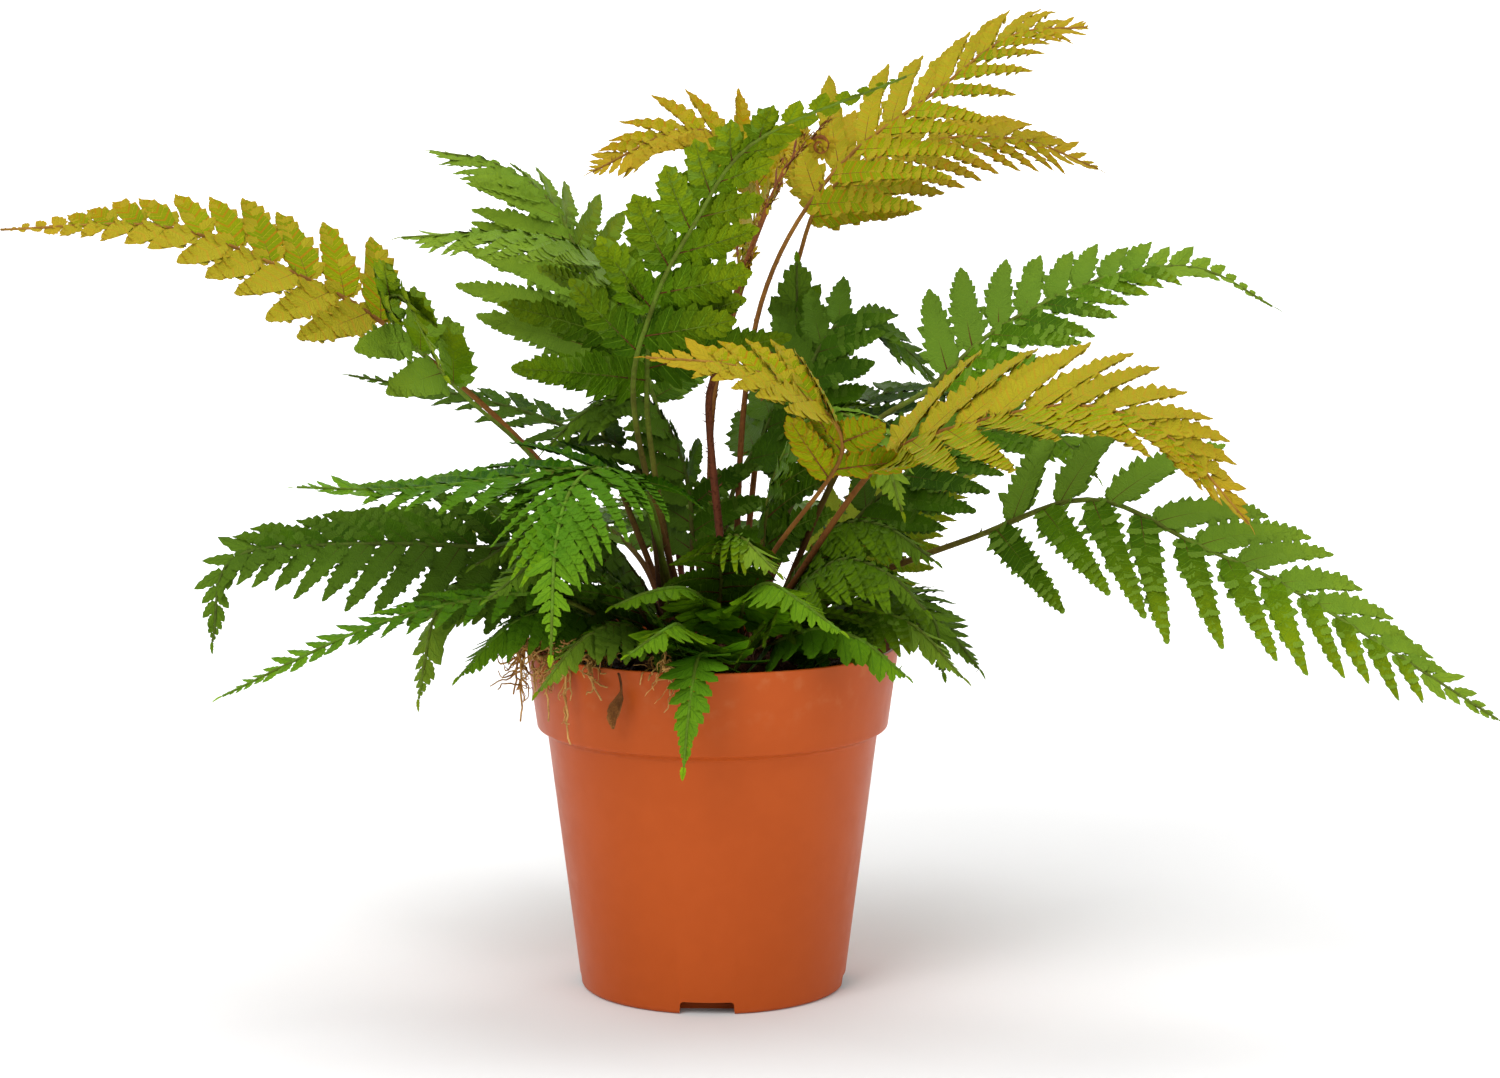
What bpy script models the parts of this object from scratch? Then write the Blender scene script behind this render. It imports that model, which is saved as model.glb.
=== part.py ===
"""Potted fern: an autumn fern with more than forty fronds in a round plastic nursery pot.

Metres, +Z up. The origin is on the pot's axis, on the underside of its base, and the
front of the plant looks along -Y. Every height on the plant is measured from the soil,
so a taller pot carries the whole plant up with it.
"""

import math
from dataclasses import dataclass

import bmesh
import bpy
from mathutils import Matrix, Vector
from mathutils.bvhtree import BVHTree

MM = 0.001
OBJECT_NAME = "potted_fern"

# Pot, a thin moulded shell with a deep rim band that steps out from the body
POT_HEIGHT = 0.1213
RIM_RADIUS = 0.065
BAND_BOTTOM_RADIUS = 0.0611
BODY_TOP_RADIUS = 0.0576
BASE_RADIUS = 0.0462
BAND_HEIGHT = 0.029
STEP_HEIGHT = 0.0018
WALL = 0.0015
FLOOR = 0.0018
LIP_ROUNDING = 0.0006
FOOT_ROUNDING = 0.001
POT_STEPS = 48

# Drain slots, cut through the corner where wall and floor meet
DRAIN_COUNT = 4
DRAIN_WIDTH = 0.0185
DRAIN_HEIGHT = 0.0045
DRAIN_DEPTH = 0.009
DRAIN_FRONT = -92.0

# Potting mix and the rootstock that the fronds rise from
GAP = 0.0004
HEADSPACE = 0.0113
SOIL_MOUND = 0.0015
CROWN_RADIUS = 0.029
CROWN_HEIGHT = 0.0075
CROWN_STEPS = 24

# Stalks and leaflets
STALK_RADIUS = 0.0013
STALK_TIP_RADIUS = 0.0007
FOOT_LIFT = 1.3
STALK_SPANS = 8
SPINE_SPANS = 60
CROZIER_POINTS = 12
LEAF_THICKNESS = 0.0006
LEAF_CLEARANCE = 0.0006
LEAF_ROOT_SHARE = 0.8
LEAF_TEST_START = 0.003
LEAF_SHARES = (1.0, 0.85, 0.7, 0.55, 0.4)

# Dead material: roots that have crept over the rim, a dry leaf and cut stalks
ROOT_RADIUS = 0.0006
ROOT_POINTS = 10
ROOT_RISE = 0.0022
STUB_RADIUS = 0.0014
STUB_UPRIGHT = 0.003

MATERIALS = {
    "terracotta_plastic": ((0.51, 0.10, 0.028), 0.35),
    "potting_mix": ((0.035, 0.022, 0.014), 0.95),
    "scaly_rootstock": ((0.10, 0.05, 0.025), 0.9),
    "mature_leaf": ((0.07, 0.24, 0.015), 0.45),
    "shaded_leaf": ((0.02, 0.09, 0.008), 0.5),
    "fresh_leaf": ((0.09, 0.36, 0.03), 0.45),
    "lime_leaf": ((0.25, 0.36, 0.02), 0.5),
    "copper_leaf": ((0.40, 0.26, 0.02), 0.5),
    "hairy_stalk": ((0.20, 0.06, 0.025), 0.8),
    "dry_root": ((0.35, 0.20, 0.09), 0.9),
    "dry_leaf": ((0.15, 0.07, 0.03), 0.9),
}


def soil_level():
    return POT_HEIGHT - HEADSPACE


def crown_top():
    return soil_level() + SOIL_MOUND + GAP + CROWN_HEIGHT


def place(x, y, height):
    """A point in millimetres from the pot's axis and above the soil, in metres from the origin."""
    return Vector((x * MM, y * MM, soil_level() + height * MM))


def rim_place(bearing, beyond, above):
    """A point on a bearing, in millimetres beyond the rim's edge and above its lip."""
    angle = math.radians(bearing)
    radius = RIM_RADIUS + beyond * MM
    return Vector((radius * math.cos(angle), radius * math.sin(angle), POT_HEIGHT + above * MM))


@dataclass(frozen=True)
class Frond:
    """One leaf: a stalk that arches out of the rootstock, with leaflets along both sides.

    foot is the distance from the axis in millimetres and the bearing. blade is the share
    of the length where the leaflets begin. length is the longest leaflet in millimetres,
    roll turns the blade about its midrib, fold lifts both sides into a V, sag bends the
    leaflets down, sweep is their angle to the midrib and thick scales the stalk.
    """

    name: str
    finish: str
    foot: tuple
    route: tuple
    blade: float
    pairs: int
    length: float
    roll: float = 0.0
    sag: float = 0.10
    fold: float = 0.0
    sweep: float = 60.0
    thick: float = 1.0


FRONDS = (
    # The left side, from the high copper frond down to the thin ones at the rim
    Frond("frond_copper_left", "copper_leaf", (16, 188),
          (place(-58, -8, 74), place(-111, -16, 123), place(-148, -22, 144),
           place(-185, -28, 157), place(-237, -33, 156)), 0.56, 11, 42, 22, 0.06, 12, 52),
    Frond("frond_young_left", "lime_leaf", (18, 207),
          (place(-57, -18, 73), place(-84, -30, 101), place(-107, -39, 127),
           place(-101, -54, 135), place(-86, -74, 111)), 0.60, 6, 24, 20, 0.15, 5, 60, 0.8),
    Frond("frond_upper_left", "mature_leaf", (18, 132),
          (place(-38, 24, 79), place(-42, 38, 119), place(-55, 52, 157),
           place(-77, 60, 174), place(-102, 66, 179)), 0.50, 10, 62, 12, 0.06, 0, 56),
    Frond("frond_middle_left", "mature_leaf", (10, 176),
          (place(-22, 2, 85), place(-23, -2, 123), place(-38, -10, 144),
           place(-65, -18, 154), place(-104, -26, 153)), 0.50, 10, 60, 14, 0.10, 0, 58),
    Frond("frond_thin_left", "shaded_leaf", (18, 156),
          (place(-26, 12, 70), place(-54, 20, 85), place(-86, 26, 94),
           place(-129, 34, 101)), 0.35, 10, 26, 20, 0.10, 0, 60, 0.8),
    Frond("frond_inner_left", "shaded_leaf", (10, 140),
          (place(-8, 16, 59), place(-17, 16, 87), place(-29, 12, 95),
           place(-44, 6, 91), place(-57, 0, 79)), 0.34, 10, 38, 20, 0.14, 0, 60, 0.8),
    Frond("frond_bright_left", "fresh_leaf", (19, 219),
          (place(-20, -30, 62), place(-37, -46, 77), place(-70, -58, 75),
           place(-102, -68, 73), place(-134, -78, 75)), 0.38, 9, 44, 28, 0.12, 0, 60, 0.9),
    Frond("frond_drooping_left", "shaded_leaf", (24, 196),
          (place(-52, -18, 42), place(-82, -32, 49), place(-128, -42, 51),
           place(-160, -50, 47), place(-166, -54, 20)), 0.34, 11, 40, 48, 0.20, 0, 62, 0.9),
    Frond("frond_low_left", "fresh_leaf", (25, 216),
          (place(-51, -42, 33), place(-77, -58, 35), place(-112, -72, 28),
           place(-158, -88, 8)), 0.25, 12, 26, 15, 0.08, 0, 60, 0.7),
    Frond("frond_low_left_back", "mature_leaf", (25, 180),
          (place(-49, -6, 30), place(-73, -14, 37), place(-93, -22, 27),
           place(-100, -28, -4)), 0.22, 10, 30, 20, 0.10, 0, 60, 0.7),
    # The middle, from the tall crozier and arch down to the small fronds over the rim
    Frond("frond_centre_arch", "mature_leaf", (10, 232),
          (place(-26, -20, 91), place(-20, -34, 129), place(-5, -43, 159),
           place(15, -50, 186), place(64, -56, 207)), 0.44, 9, 38, 45, 0.05, 5, 58),
    Frond("frond_dark_centre", "shaded_leaf", (18, 84),
          (place(6, 34, 56), place(20, 48, 83), place(29, 58, 111),
           place(30, 66, 139)), 0.50, 6, 42, 0, 0.06, -10, 58, 0.9),
    Frond("frond_front_drop", "fresh_leaf", (18, 240),
          (place(-22, -44, 66), place(-34, -62, 79), place(-44, -82, 76),
           place(-49, -100, 59), place(-50, -114, 26)), 0.34, 11, 38, 0, 0.08, 0, 60, 0.9),
    Frond("frond_low_left_front", "shaded_leaf", (25, 233),
          (place(-28, -48, 36), place(-42, -66, 50), place(-56, -82, 51),
           place(-71, -96, 41)), 0.22, 11, 38, 15, 0.12, 0, 60, 0.8),
    Frond("frond_front_left", "fresh_leaf", (25, 254),
          (place(-1, -44, 29), place(-8, -60, 39), place(-20, -74, 40),
           place(-31, -84, 37)), 0.20, 9, 24, 0, 0.08, 0, 60, 0.7),
    Frond("frond_front_low", "fresh_leaf", (25, 268),
          (place(-6, -46, 18), place(-10, -62, 27), place(-14, -80, 29),
           place(-26, -96, 23)), 0.20, 10, 26, 0, 0.08, 0, 60, 0.7),
    Frond("frond_front_right", "fresh_leaf", (25, 294),
          (place(11, -44, 32), place(19, -68, 42), place(29, -86, 39),
           place(42, -98, 31)), 0.20, 10, 30, 0, 0.08, 0, 60, 0.7),
    Frond("frond_over_rim", "fresh_leaf", (25, 281),
          (rim_place(274, -19, 1.5), rim_place(267, -3, 6), rim_place(265.5, 11, -3),
           rim_place(264, 17.5, -28)), 0.25, 9, 24, 0, 0.02, 0, 60, 0.7),
    # The high copper fronds at the top right
    Frond("frond_copper_top", "copper_leaf", (10, 45),
          (place(11, 38, 91), place(21, 48, 137), place(45, 56, 174),
           place(79, 58, 200), place(106, 58, 220), place(133, 58, 223)),
          0.48, 12, 62, -18, 0.08, 10, 52),
    Frond("frond_copper_back", "copper_leaf", (19, 62),
          (place(18, 60, 90), place(30, 76, 137), place(42, 86, 164),
           place(76, 96, 181), place(113, 102, 182), place(142, 106, 171)),
          0.50, 9, 50, -22, 0.08, 5, 52),
    Frond("frond_copper_inner", "copper_leaf", (10, 98),
          (place(0, 46, 90), place(14, 62, 144), place(14, 68, 172),
           place(-9, 64, 187), place(-43, 56, 172)), 0.58, 8, 34, 12, 0.10, 5, 60, 0.9),
    # The right side, from the upright green frond down to the rim
    Frond("frond_upright_right", "mature_leaf", (18, 12),
          (place(48, 12, 77), place(76, 26, 97), place(102, 38, 118),
           place(142, 52, 135), place(175, 60, 137), place(202, 66, 123)),
          0.45, 11, 46, -45, 0.10, 10, 60),
    Frond("frond_dark_right", "shaded_leaf", (18, 30),
          (place(25, 18, 66), place(32, 26, 100), place(48, 32, 122),
           place(68, 38, 110), place(82, 42, 94)), 0.48, 8, 32, -35, 0.10, 0, 60, 0.9),
    Frond("frond_yellow_right", "copper_leaf", (18, 309),
          (place(25, -28, 32), place(56, -60, 81), place(86, -78, 96),
           place(119, -92, 103), place(146, -102, 94), place(171, -108, 67)),
          0.40, 11, 58, -30, 0.10, 10, 54),
    Frond("frond_yellow_inner", "copper_leaf", (18, 285),
          (place(20, -48, 48), place(43, -80, 87), place(29, -90, 107),
           place(8, -94, 116), place(-20, -98, 119)), 0.52, 8, 26, 35, 0.10, 5, 58, 0.8),
    Frond("frond_inner_right", "mature_leaf", (18, 346),
          (place(18, -6, 54), place(27, -14, 83), place(40, -22, 94),
           place(56, -32, 85), place(64, -40, 62)), 0.32, 10, 42, -25, 0.14, 0, 60, 0.8),
    Frond("frond_back_right", "shaded_leaf", (25, 6),
          (place(44, 4, 46), place(72, 6, 73), place(100, 4, 85),
           place(120, 0, 82), place(133, -4, 69)), 0.34, 10, 42, -35, 0.14, 0, 60, 0.9),
    Frond("frond_long_right", "mature_leaf", (25, 352),
          (place(48, -14, 33), place(89, -36, 53), place(126, -54, 68),
           place(161, -68, 54), place(192, -78, 40), place(255, -92, 1)),
          0.38, 13, 54, -52, 0.18, 5, 62),
    Frond("frond_low_right_front", "shaded_leaf", (25, 322),
          (place(26, -38, 32), place(43, -56, 48), place(59, -70, 45),
           place(70, -80, 35)), 0.22, 10, 40, -10, 0.12, 0, 60, 0.8),
    Frond("frond_low_right", "shaded_leaf", (25, 338),
          (place(47, -18, 25), place(64, -28, 31), place(75, -37, 25),
           place(78, -44, 8)), 0.20, 9, 30, -20, 0.12, 0, 60, 0.7),
    Frond("frond_lime_back", "lime_leaf", (25, 22),
          (place(40, 16, 31), place(56, 30, 46), place(74, 42, 55),
           place(96, 52, 66)), 0.25, 9, 36, -35, 0.08, 0, 58, 0.8),
    # Low fronds that fill the middle and hide the rim
    Frond("frond_inner_front", "mature_leaf", (14, 274),
          (place(3, -30, 34), place(4, -44, 52), place(10, -58, 56),
           place(22, -72, 46)), 0.26, 10, 42, 0, 0.10, 0, 60, 0.8),
    Frond("frond_inner_dark_left", "shaded_leaf", (13, 210),
          (place(-26, -12, 36), place(-40, -26, 54), place(-58, -40, 56),
           place(-78, -54, 46)), 0.26, 11, 42, 15, 0.12, 0, 60, 0.8),
    Frond("frond_inner_dark_right", "shaded_leaf", (18, 325),
          (place(28, -22, 38), place(42, -34, 56), place(58, -46, 58),
           place(74, -58, 48)), 0.26, 11, 42, -15, 0.12, 0, 60, 0.8),
    Frond("frond_rim_left", "fresh_leaf", (25, 205),
          (place(-40, -20, 22), place(-56, -30, 27), place(-70, -40, 22),
           place(-84, -52, 8)), 0.22, 9, 24, 10, 0.10, 0, 60, 0.7),
    Frond("frond_rim_front_left", "mature_leaf", (25, 243.5),
          (place(-20, -38, 20), place(-32, -54, 26), place(-44, -68, 22),
           place(-56, -80, 8)), 0.22, 9, 24, 5, 0.10, 0, 60, 0.7),
    Frond("frond_rim_front_right", "fresh_leaf", (25, 308),
          (place(24, -36, 18), place(36, -50, 24), place(50, -62, 22),
           place(64, -72, 12)), 0.22, 9, 24, -5, 0.10, 0, 60, 0.7),
    Frond("frond_rim_right", "mature_leaf", (25, 330),
          (place(36, -24, 20), place(52, -34, 27), place(68, -44, 24),
           place(84, -54, 8)), 0.22, 9, 26, -10, 0.10, 0, 60, 0.7),
    Frond("frond_rim_right_side", "shaded_leaf", (25, 359),
          (place(43, -1, 20), place(61, -4, 26), place(78, -10, 20),
           place(92, -15, 4)), 0.22, 9, 26, -20, 0.10, 0, 60, 0.7),
    # The rear, seen through the plant and from behind
    Frond("frond_rear_left", "mature_leaf", (25, 128),
          (place(-26, 40, 34), place(-48, 76, 46), place(-74, 112, 44),
           place(-102, 146, 24)), 0.24, 12, 46, 0, 0.12, 0, 60, 0.9),
    Frond("frond_rear_middle", "mature_leaf", (25, 100),
          (place(-6, 46, 38), place(-11, 92, 48), place(-18, 138, 44),
           place(-26, 184, 18)), 0.24, 13, 46, 0, 0.12, 0, 60, 0.9),
    Frond("frond_rear_right", "mature_leaf", (25, 56),
          (place(24, 42, 34), place(40, 80, 46), place(60, 122, 42),
           place(82, 162, 16)), 0.24, 12, 46, 0, 0.12, 0, 60, 0.9),
    Frond("frond_rear_high_left", "mature_leaf", (25, 114),
          (place(-14, 42, 58), place(-26, 80, 102), place(-38, 118, 122),
           place(-52, 158, 108)), 0.46, 9, 46, 0, 0.12, 0, 60, 0.9),
    Frond("frond_rear_high_right", "shaded_leaf", (18, 44),
          (place(26, 38, 50), place(50, 74, 82), place(78, 108, 90),
           place(108, 142, 72)), 0.44, 9, 44, 0, 0.12, 0, 60, 0.9),
)


@dataclass(frozen=True)
class Crozier:
    """A young frond that is still rolled up: a stalk, a coiled tip and small coiled side shoots.

    coil is the radius of the tip's coil in millimetres. shoots gives, for each side shoot,
    the share of the stalk where it starts, its side (-1 left, 1 right), its length and the
    radius of its coil.
    """

    name: str
    foot: tuple
    route: tuple
    coil: float
    thick: float
    shoots: tuple = ()


CROZIERS = (
    Crozier("crozier_tall", (8, 330),
            (place(-1, 5, 85), place(1, 7, 105), place(11, 10, 140), place(25, 12, 174),
             place(35, 14, 185)), 6.5, 1.3,
            ((0.80, -1, 16, 4.0), (0.87, 1, 9, 3.0), (0.93, -1, 10, 3.0))),
    Crozier("crozier_small", (19, 115),
            (place(-17, 34, 64), place(-28, 44, 112), place(-32, 46, 138)), 3.2, 0.7),
)

# Roots over the rim: bearing, drop outside the rim and sideways drift, in millimetres
ROOT_STRANDS = (
    (186, 16, 3),
    (196, 24, 2),
    (204, 12, 4),
    (214, 20, 2),
    (222, 27, 3),
    (231, 10, 4),
    (256, 7, 5),
)
DRY_LEAF_BEARING = 243.0
DRY_LEAF_LENGTH = 0.026
DRY_LEAF_WIDTH = 0.009
DRY_LEAF_TOP = 0.0015
STUBS = ((5, 20, 13), (21, 262, 7), (22, 145, 9))


def unit_or(vector, fallback):
    return vector.normalized() if vector.length > 0.05 else fallback


def through(points, per_span=10):
    """A smooth curve through the points (Catmull-Rom), as a list of points."""
    ends = [2 * points[0] - points[1], *points, 2 * points[-1] - points[-2]]
    curve = []
    for before, start, end, after in zip(ends, ends[1:], ends[2:], ends[3:]):
        for step in range(per_span):
            t = step / per_span
            curve.append(0.5 * (2 * start + (end - before) * t
                                + (2 * before - 5 * start + 4 * end - after) * t ** 2
                                + (3 * start - before - 3 * end + after) * t ** 3))
    return curve + [points[-1]]


def spaced(points, count):
    """The same line as count + 1 points at equal distances along it."""
    lengths = [0.0]
    for start, end in zip(points, points[1:]):
        lengths.append(lengths[-1] + (end - start).length)
    result = []
    span = 0
    for step in range(count + 1):
        wanted = lengths[-1] * step / count
        while span < len(points) - 2 and lengths[span + 1] < wanted:
            span += 1
        share = (wanted - lengths[span]) / (lengths[span + 1] - lengths[span])
        result.append(points[span].lerp(points[span + 1], min(share, 1.0)))
    return result


def stalk_route(foot, route):
    """From the rootstock's top through the route's points, with the slanted foot just clear of it."""
    radius, bearing = foot
    angle = math.radians(bearing)
    base = Vector((radius * MM * math.cos(angle), radius * MM * math.sin(angle), crown_top() + GAP))
    start = (route[0] - base).normalized()
    return through([base + Vector((0, 0, STALK_RADIUS * start.xy.length * FOOT_LIFT)), *route])


def add_object(name, mesh_or_curve, collection, finish=None):
    obj = bpy.data.objects.new(name, mesh_or_curve)
    collection.objects.link(obj)
    if finish:
        obj.data.materials.append(bpy.data.materials[finish])
    return obj


def make_materials():
    for name, (colour, roughness) in MATERIALS.items():
        material = bpy.data.materials.new(name)
        material.use_nodes = True
        shader = material.node_tree.nodes["Principled BSDF"]
        shader.inputs["Base Color"].default_value = (*colour, 1.0)
        shader.inputs["Roughness"].default_value = roughness
        shader.inputs["Metallic"].default_value = 0.0


def add_helper(name, mesh, helpers):
    helper = add_object(name, mesh, helpers)
    helper.hide_render = True
    helper.display_type = "WIRE"
    return helper


def add_boolean(obj, operation, other):
    modifier = obj.modifiers.new(other.name, "BOOLEAN")
    modifier.operation = operation
    modifier.object = other


def mesh_from_bmesh(name, shape):
    mesh = bpy.data.meshes.new(name)
    shape.to_mesh(mesh)
    shape.free()
    return mesh


def tube_mesh(name, points, radii):
    """A tube with flat caps as a mesh, made from a bevelled polyline."""
    curve = bpy.data.curves.new(name, "CURVE")
    curve.dimensions = "3D"
    curve.bevel_depth = 1.0
    curve.bevel_resolution = 1
    curve.use_fill_caps = True
    spline = curve.splines.new("POLY")
    spline.points.add(len(points) - 1)
    for target, point, radius in zip(spline.points, points, radii):
        target.co = (*point, 1.0)
        target.radius = radius
    guide = bpy.data.objects.new(name, curve)
    bpy.context.scene.collection.objects.link(guide)
    graph = bpy.context.evaluated_depsgraph_get()
    mesh = bpy.data.meshes.new_from_object(guide.evaluated_get(graph))
    bpy.data.objects.remove(guide)
    shape = bmesh.new()
    shape.from_mesh(mesh)
    bmesh.ops.remove_doubles(shape, verts=shape.verts, dist=0.00001)
    shape.to_mesh(mesh)
    shape.free()
    mesh.name = name
    mesh.shade_smooth()
    return mesh


def turned(name, profile, steps, collection, finish):
    """A solid turned about Z from its profile, which starts and ends on the axis."""
    mesh = bpy.data.meshes.new(name)
    points = [(radius, 0.0, height) for radius, height in profile]
    mesh.from_pydata(points, [(i, i + 1) for i in range(len(points) - 1)], [])
    obj = add_object(name, mesh, collection, finish)
    screw = obj.modifiers.new("Turn", "SCREW")
    screw.steps = steps
    screw.render_steps = steps
    screw.use_merge_vertices = True
    screw.merge_threshold = 0.0001
    screw.use_smooth_shade = False
    return obj


def band_bottom():
    return POT_HEIGHT - BAND_HEIGHT


def inner_radius(height):
    """The radius of the pot's inner wall at a height above the ground."""
    low, high = band_bottom() - STEP_HEIGHT, band_bottom()
    if height < low:
        share = height / low
        outer = BASE_RADIUS + (BODY_TOP_RADIUS - BASE_RADIUS) * share
    elif height < high:
        share = (height - low) / STEP_HEIGHT
        outer = BODY_TOP_RADIUS + (BAND_BOTTOM_RADIUS - BODY_TOP_RADIUS) * share
    else:
        share = (height - high) / BAND_HEIGHT
        outer = BAND_BOTTOM_RADIUS + (RIM_RADIUS - BAND_BOTTOM_RADIUS) * share
    return outer - WALL


def make_pot(parts, helpers):
    low, high = band_bottom() - STEP_HEIGHT, band_bottom()
    profile = [
        (0.0, FLOOR),
        (inner_radius(FLOOR), FLOOR),
        (inner_radius(low), low),
        (inner_radius(high), high),
        (inner_radius(POT_HEIGHT), POT_HEIGHT - LIP_ROUNDING),
        (RIM_RADIUS - WALL + LIP_ROUNDING, POT_HEIGHT),
        (RIM_RADIUS - LIP_ROUNDING, POT_HEIGHT),
        (RIM_RADIUS, POT_HEIGHT - LIP_ROUNDING),
        (BAND_BOTTOM_RADIUS, high),
        (BODY_TOP_RADIUS, low),
        (BASE_RADIUS, FOOT_ROUNDING),
        (BASE_RADIUS - FOOT_ROUNDING, 0.0),
        (0.0, 0.0),
    ]
    pot = turned("nursery_pot", profile, POT_STEPS, parts, "terracotta_plastic")
    add_boolean(pot, "DIFFERENCE", add_helper("drain_slots", drain_cutter_mesh(), helpers))
    return pot


def drain_cutter_mesh():
    """One box for each drain slot, from inside the floor out past the wall."""
    shape = bmesh.new()
    start = BASE_RADIUS - DRAIN_DEPTH
    end = BODY_TOP_RADIUS
    for number in range(DRAIN_COUNT):
        turn = Matrix.Rotation(math.radians(DRAIN_FRONT + 360 * number / DRAIN_COUNT), 4, "Z")
        centre = Matrix.Translation(((start + end) / 2, 0, 0))
        size = Matrix.Diagonal((end - start, DRAIN_WIDTH, 2 * DRAIN_HEIGHT, 1))
        bmesh.ops.create_cube(shape, size=1.0, matrix=turn @ centre @ size)
    return mesh_from_bmesh("drain_slots", shape)


def make_potting_mix(parts):
    """The root ball, which fills the pot to just below its rim."""
    low, high = band_bottom() - STEP_HEIGHT, band_bottom()
    bottom = FLOOR + GAP
    edge = soil_level()
    profile = [
        (0.0, edge + SOIL_MOUND),
        (CROWN_RADIUS, edge + SOIL_MOUND),
        (inner_radius(edge) - GAP, edge),
        (inner_radius(high) - GAP, high + GAP),
        (inner_radius(low) - GAP, low),
        (inner_radius(bottom) - GAP, bottom),
        (0.0, bottom),
    ]
    return turned("potting_mix", profile, POT_STEPS, parts, "potting_mix")


def make_crown(parts):
    """The low scaly rootstock on the soil, flat on top where the stalks stand."""
    base = soil_level() + SOIL_MOUND + GAP
    profile = [
        (0.0, base + CROWN_HEIGHT),
        (CROWN_RADIUS * 0.95, base + CROWN_HEIGHT),
        (CROWN_RADIUS, base + CROWN_HEIGHT * 0.6),
        (CROWN_RADIUS * 0.9, base),
        (0.0, base),
    ]
    return turned("rootstock", profile, CROWN_STEPS, parts, "scaly_rootstock")


def solid_tree(points, faces):
    return BVHTree.FromPolygons([tuple(point) for point in points], faces)


def mesh_tree(mesh):
    return solid_tree([v.co for v in mesh.vertices], [tuple(p.vertices) for p in mesh.polygons])


def object_tree(obj):
    return BVHTree.FromObject(obj, bpy.context.evaluated_depsgraph_get())


def station(spine, share):
    """The point, tangent, side and normal of the midrib at a share of its length."""
    place_along = share * (len(spine) - 1)
    index = min(int(place_along), len(spine) - 2)
    point = spine[index].lerp(spine[index + 1], place_along - index)
    before, after = spine[max(index - 1, 0)], spine[min(index + 2, len(spine) - 1)]
    tangent = (after - before).normalized()
    side = unit_or(tangent.cross(Vector((0, 0, 1))), Vector((1, 0, 0)))
    return point, tangent, side, side.cross(tangent)


def turned_by_roll(frond, side, normal):
    """The blade's side and normal once it is turned about its midrib."""
    roll = math.radians(frond.roll)
    return (side * math.cos(roll) + normal * math.sin(roll),
            normal * math.cos(roll) - side * math.sin(roll))


def leaflet_tip(frond, spine, share, side_sign, length):
    """Where a leaflet ends that grows from this share of the blade."""
    point, tangent, side, normal = station(spine, frond.blade + (1 - frond.blade) * share)
    side, normal = turned_by_roll(frond, side, normal)
    sweep = math.radians(frond.sweep * (1 - 0.3 * share))
    fold = math.radians(frond.fold)
    across = side * (side_sign * math.cos(fold)) + normal * math.sin(fold)
    out = (tangent * math.cos(sweep) + across * math.sin(sweep)).normalized()
    return point + out * length + Vector((0, 0, -frond.sag * length))


def leaflet_tree(near, far, tip):
    """A leaflet just clear of its own midrib as a closed wedge, thicker by the clearance."""
    start = min(LEAF_TEST_START / (tip - near).length, 0.5)
    outline = (near.lerp(tip, start), tip, far.lerp(tip, start))
    half = (far - near).cross(tip - near).normalized() * (LEAF_THICKNESS + LEAF_CLEARANCE)
    points = [point + half for point in outline] + [point - half for point in outline]
    sides = [(i, (i + 1) % 3, (i + 1) % 3 + 3, i + 3) for i in range(3)]
    return solid_tree(points, [(0, 1, 2), (5, 4, 3), *sides])


def leaflet_share(frond, number):
    """Where a pair of leaflets starts along the blade: closer together towards the tip."""
    return 1 - (1 - number / frond.pairs) ** 1.12


def grown_tip(frond, spine, ends, share, side_sign, length, taken):
    """A leaflet's tip. One that would run into a neighbour stays shorter or is lost."""
    near, far = ends
    for reach in LEAF_SHARES:
        tip = leaflet_tip(frond, spine, share, side_sign, length * reach)
        tree = leaflet_tree(near, far, tip)
        if not any(tree.overlap(other) for other in taken):
            taken.append(tree)
            return tip
    return None


def stalk_half_width(frond, share):
    thick = STALK_RADIUS * frond.thick
    return thick + (STALK_TIP_RADIUS - thick) * share


def midrib_stations(frond):
    """Shares of the whole length: evenly up the stalk, then both ends of each leaflet's root."""
    shares = [frond.blade * number / STALK_SPANS for number in range(STALK_SPANS)]
    for number in range(frond.pairs):
        start, end = leaflet_share(frond, number), leaflet_share(frond, number + 1)
        for inner in (start, start + (end - start) * LEAF_ROOT_SHARE):
            shares.append(frond.blade + (1 - frond.blade) * inner)
    return shares


def ribbon_edges(frond, spine):
    """Right and left edge points of the stalk and midrib at each station."""
    edges = []
    for share in midrib_stations(frond):
        point, _, side, normal = station(spine, share)
        side, normal = turned_by_roll(frond, side, normal)
        half = stalk_half_width(frond, share)
        edges.append((point + side * half, point - side * half))
    return edges


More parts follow.
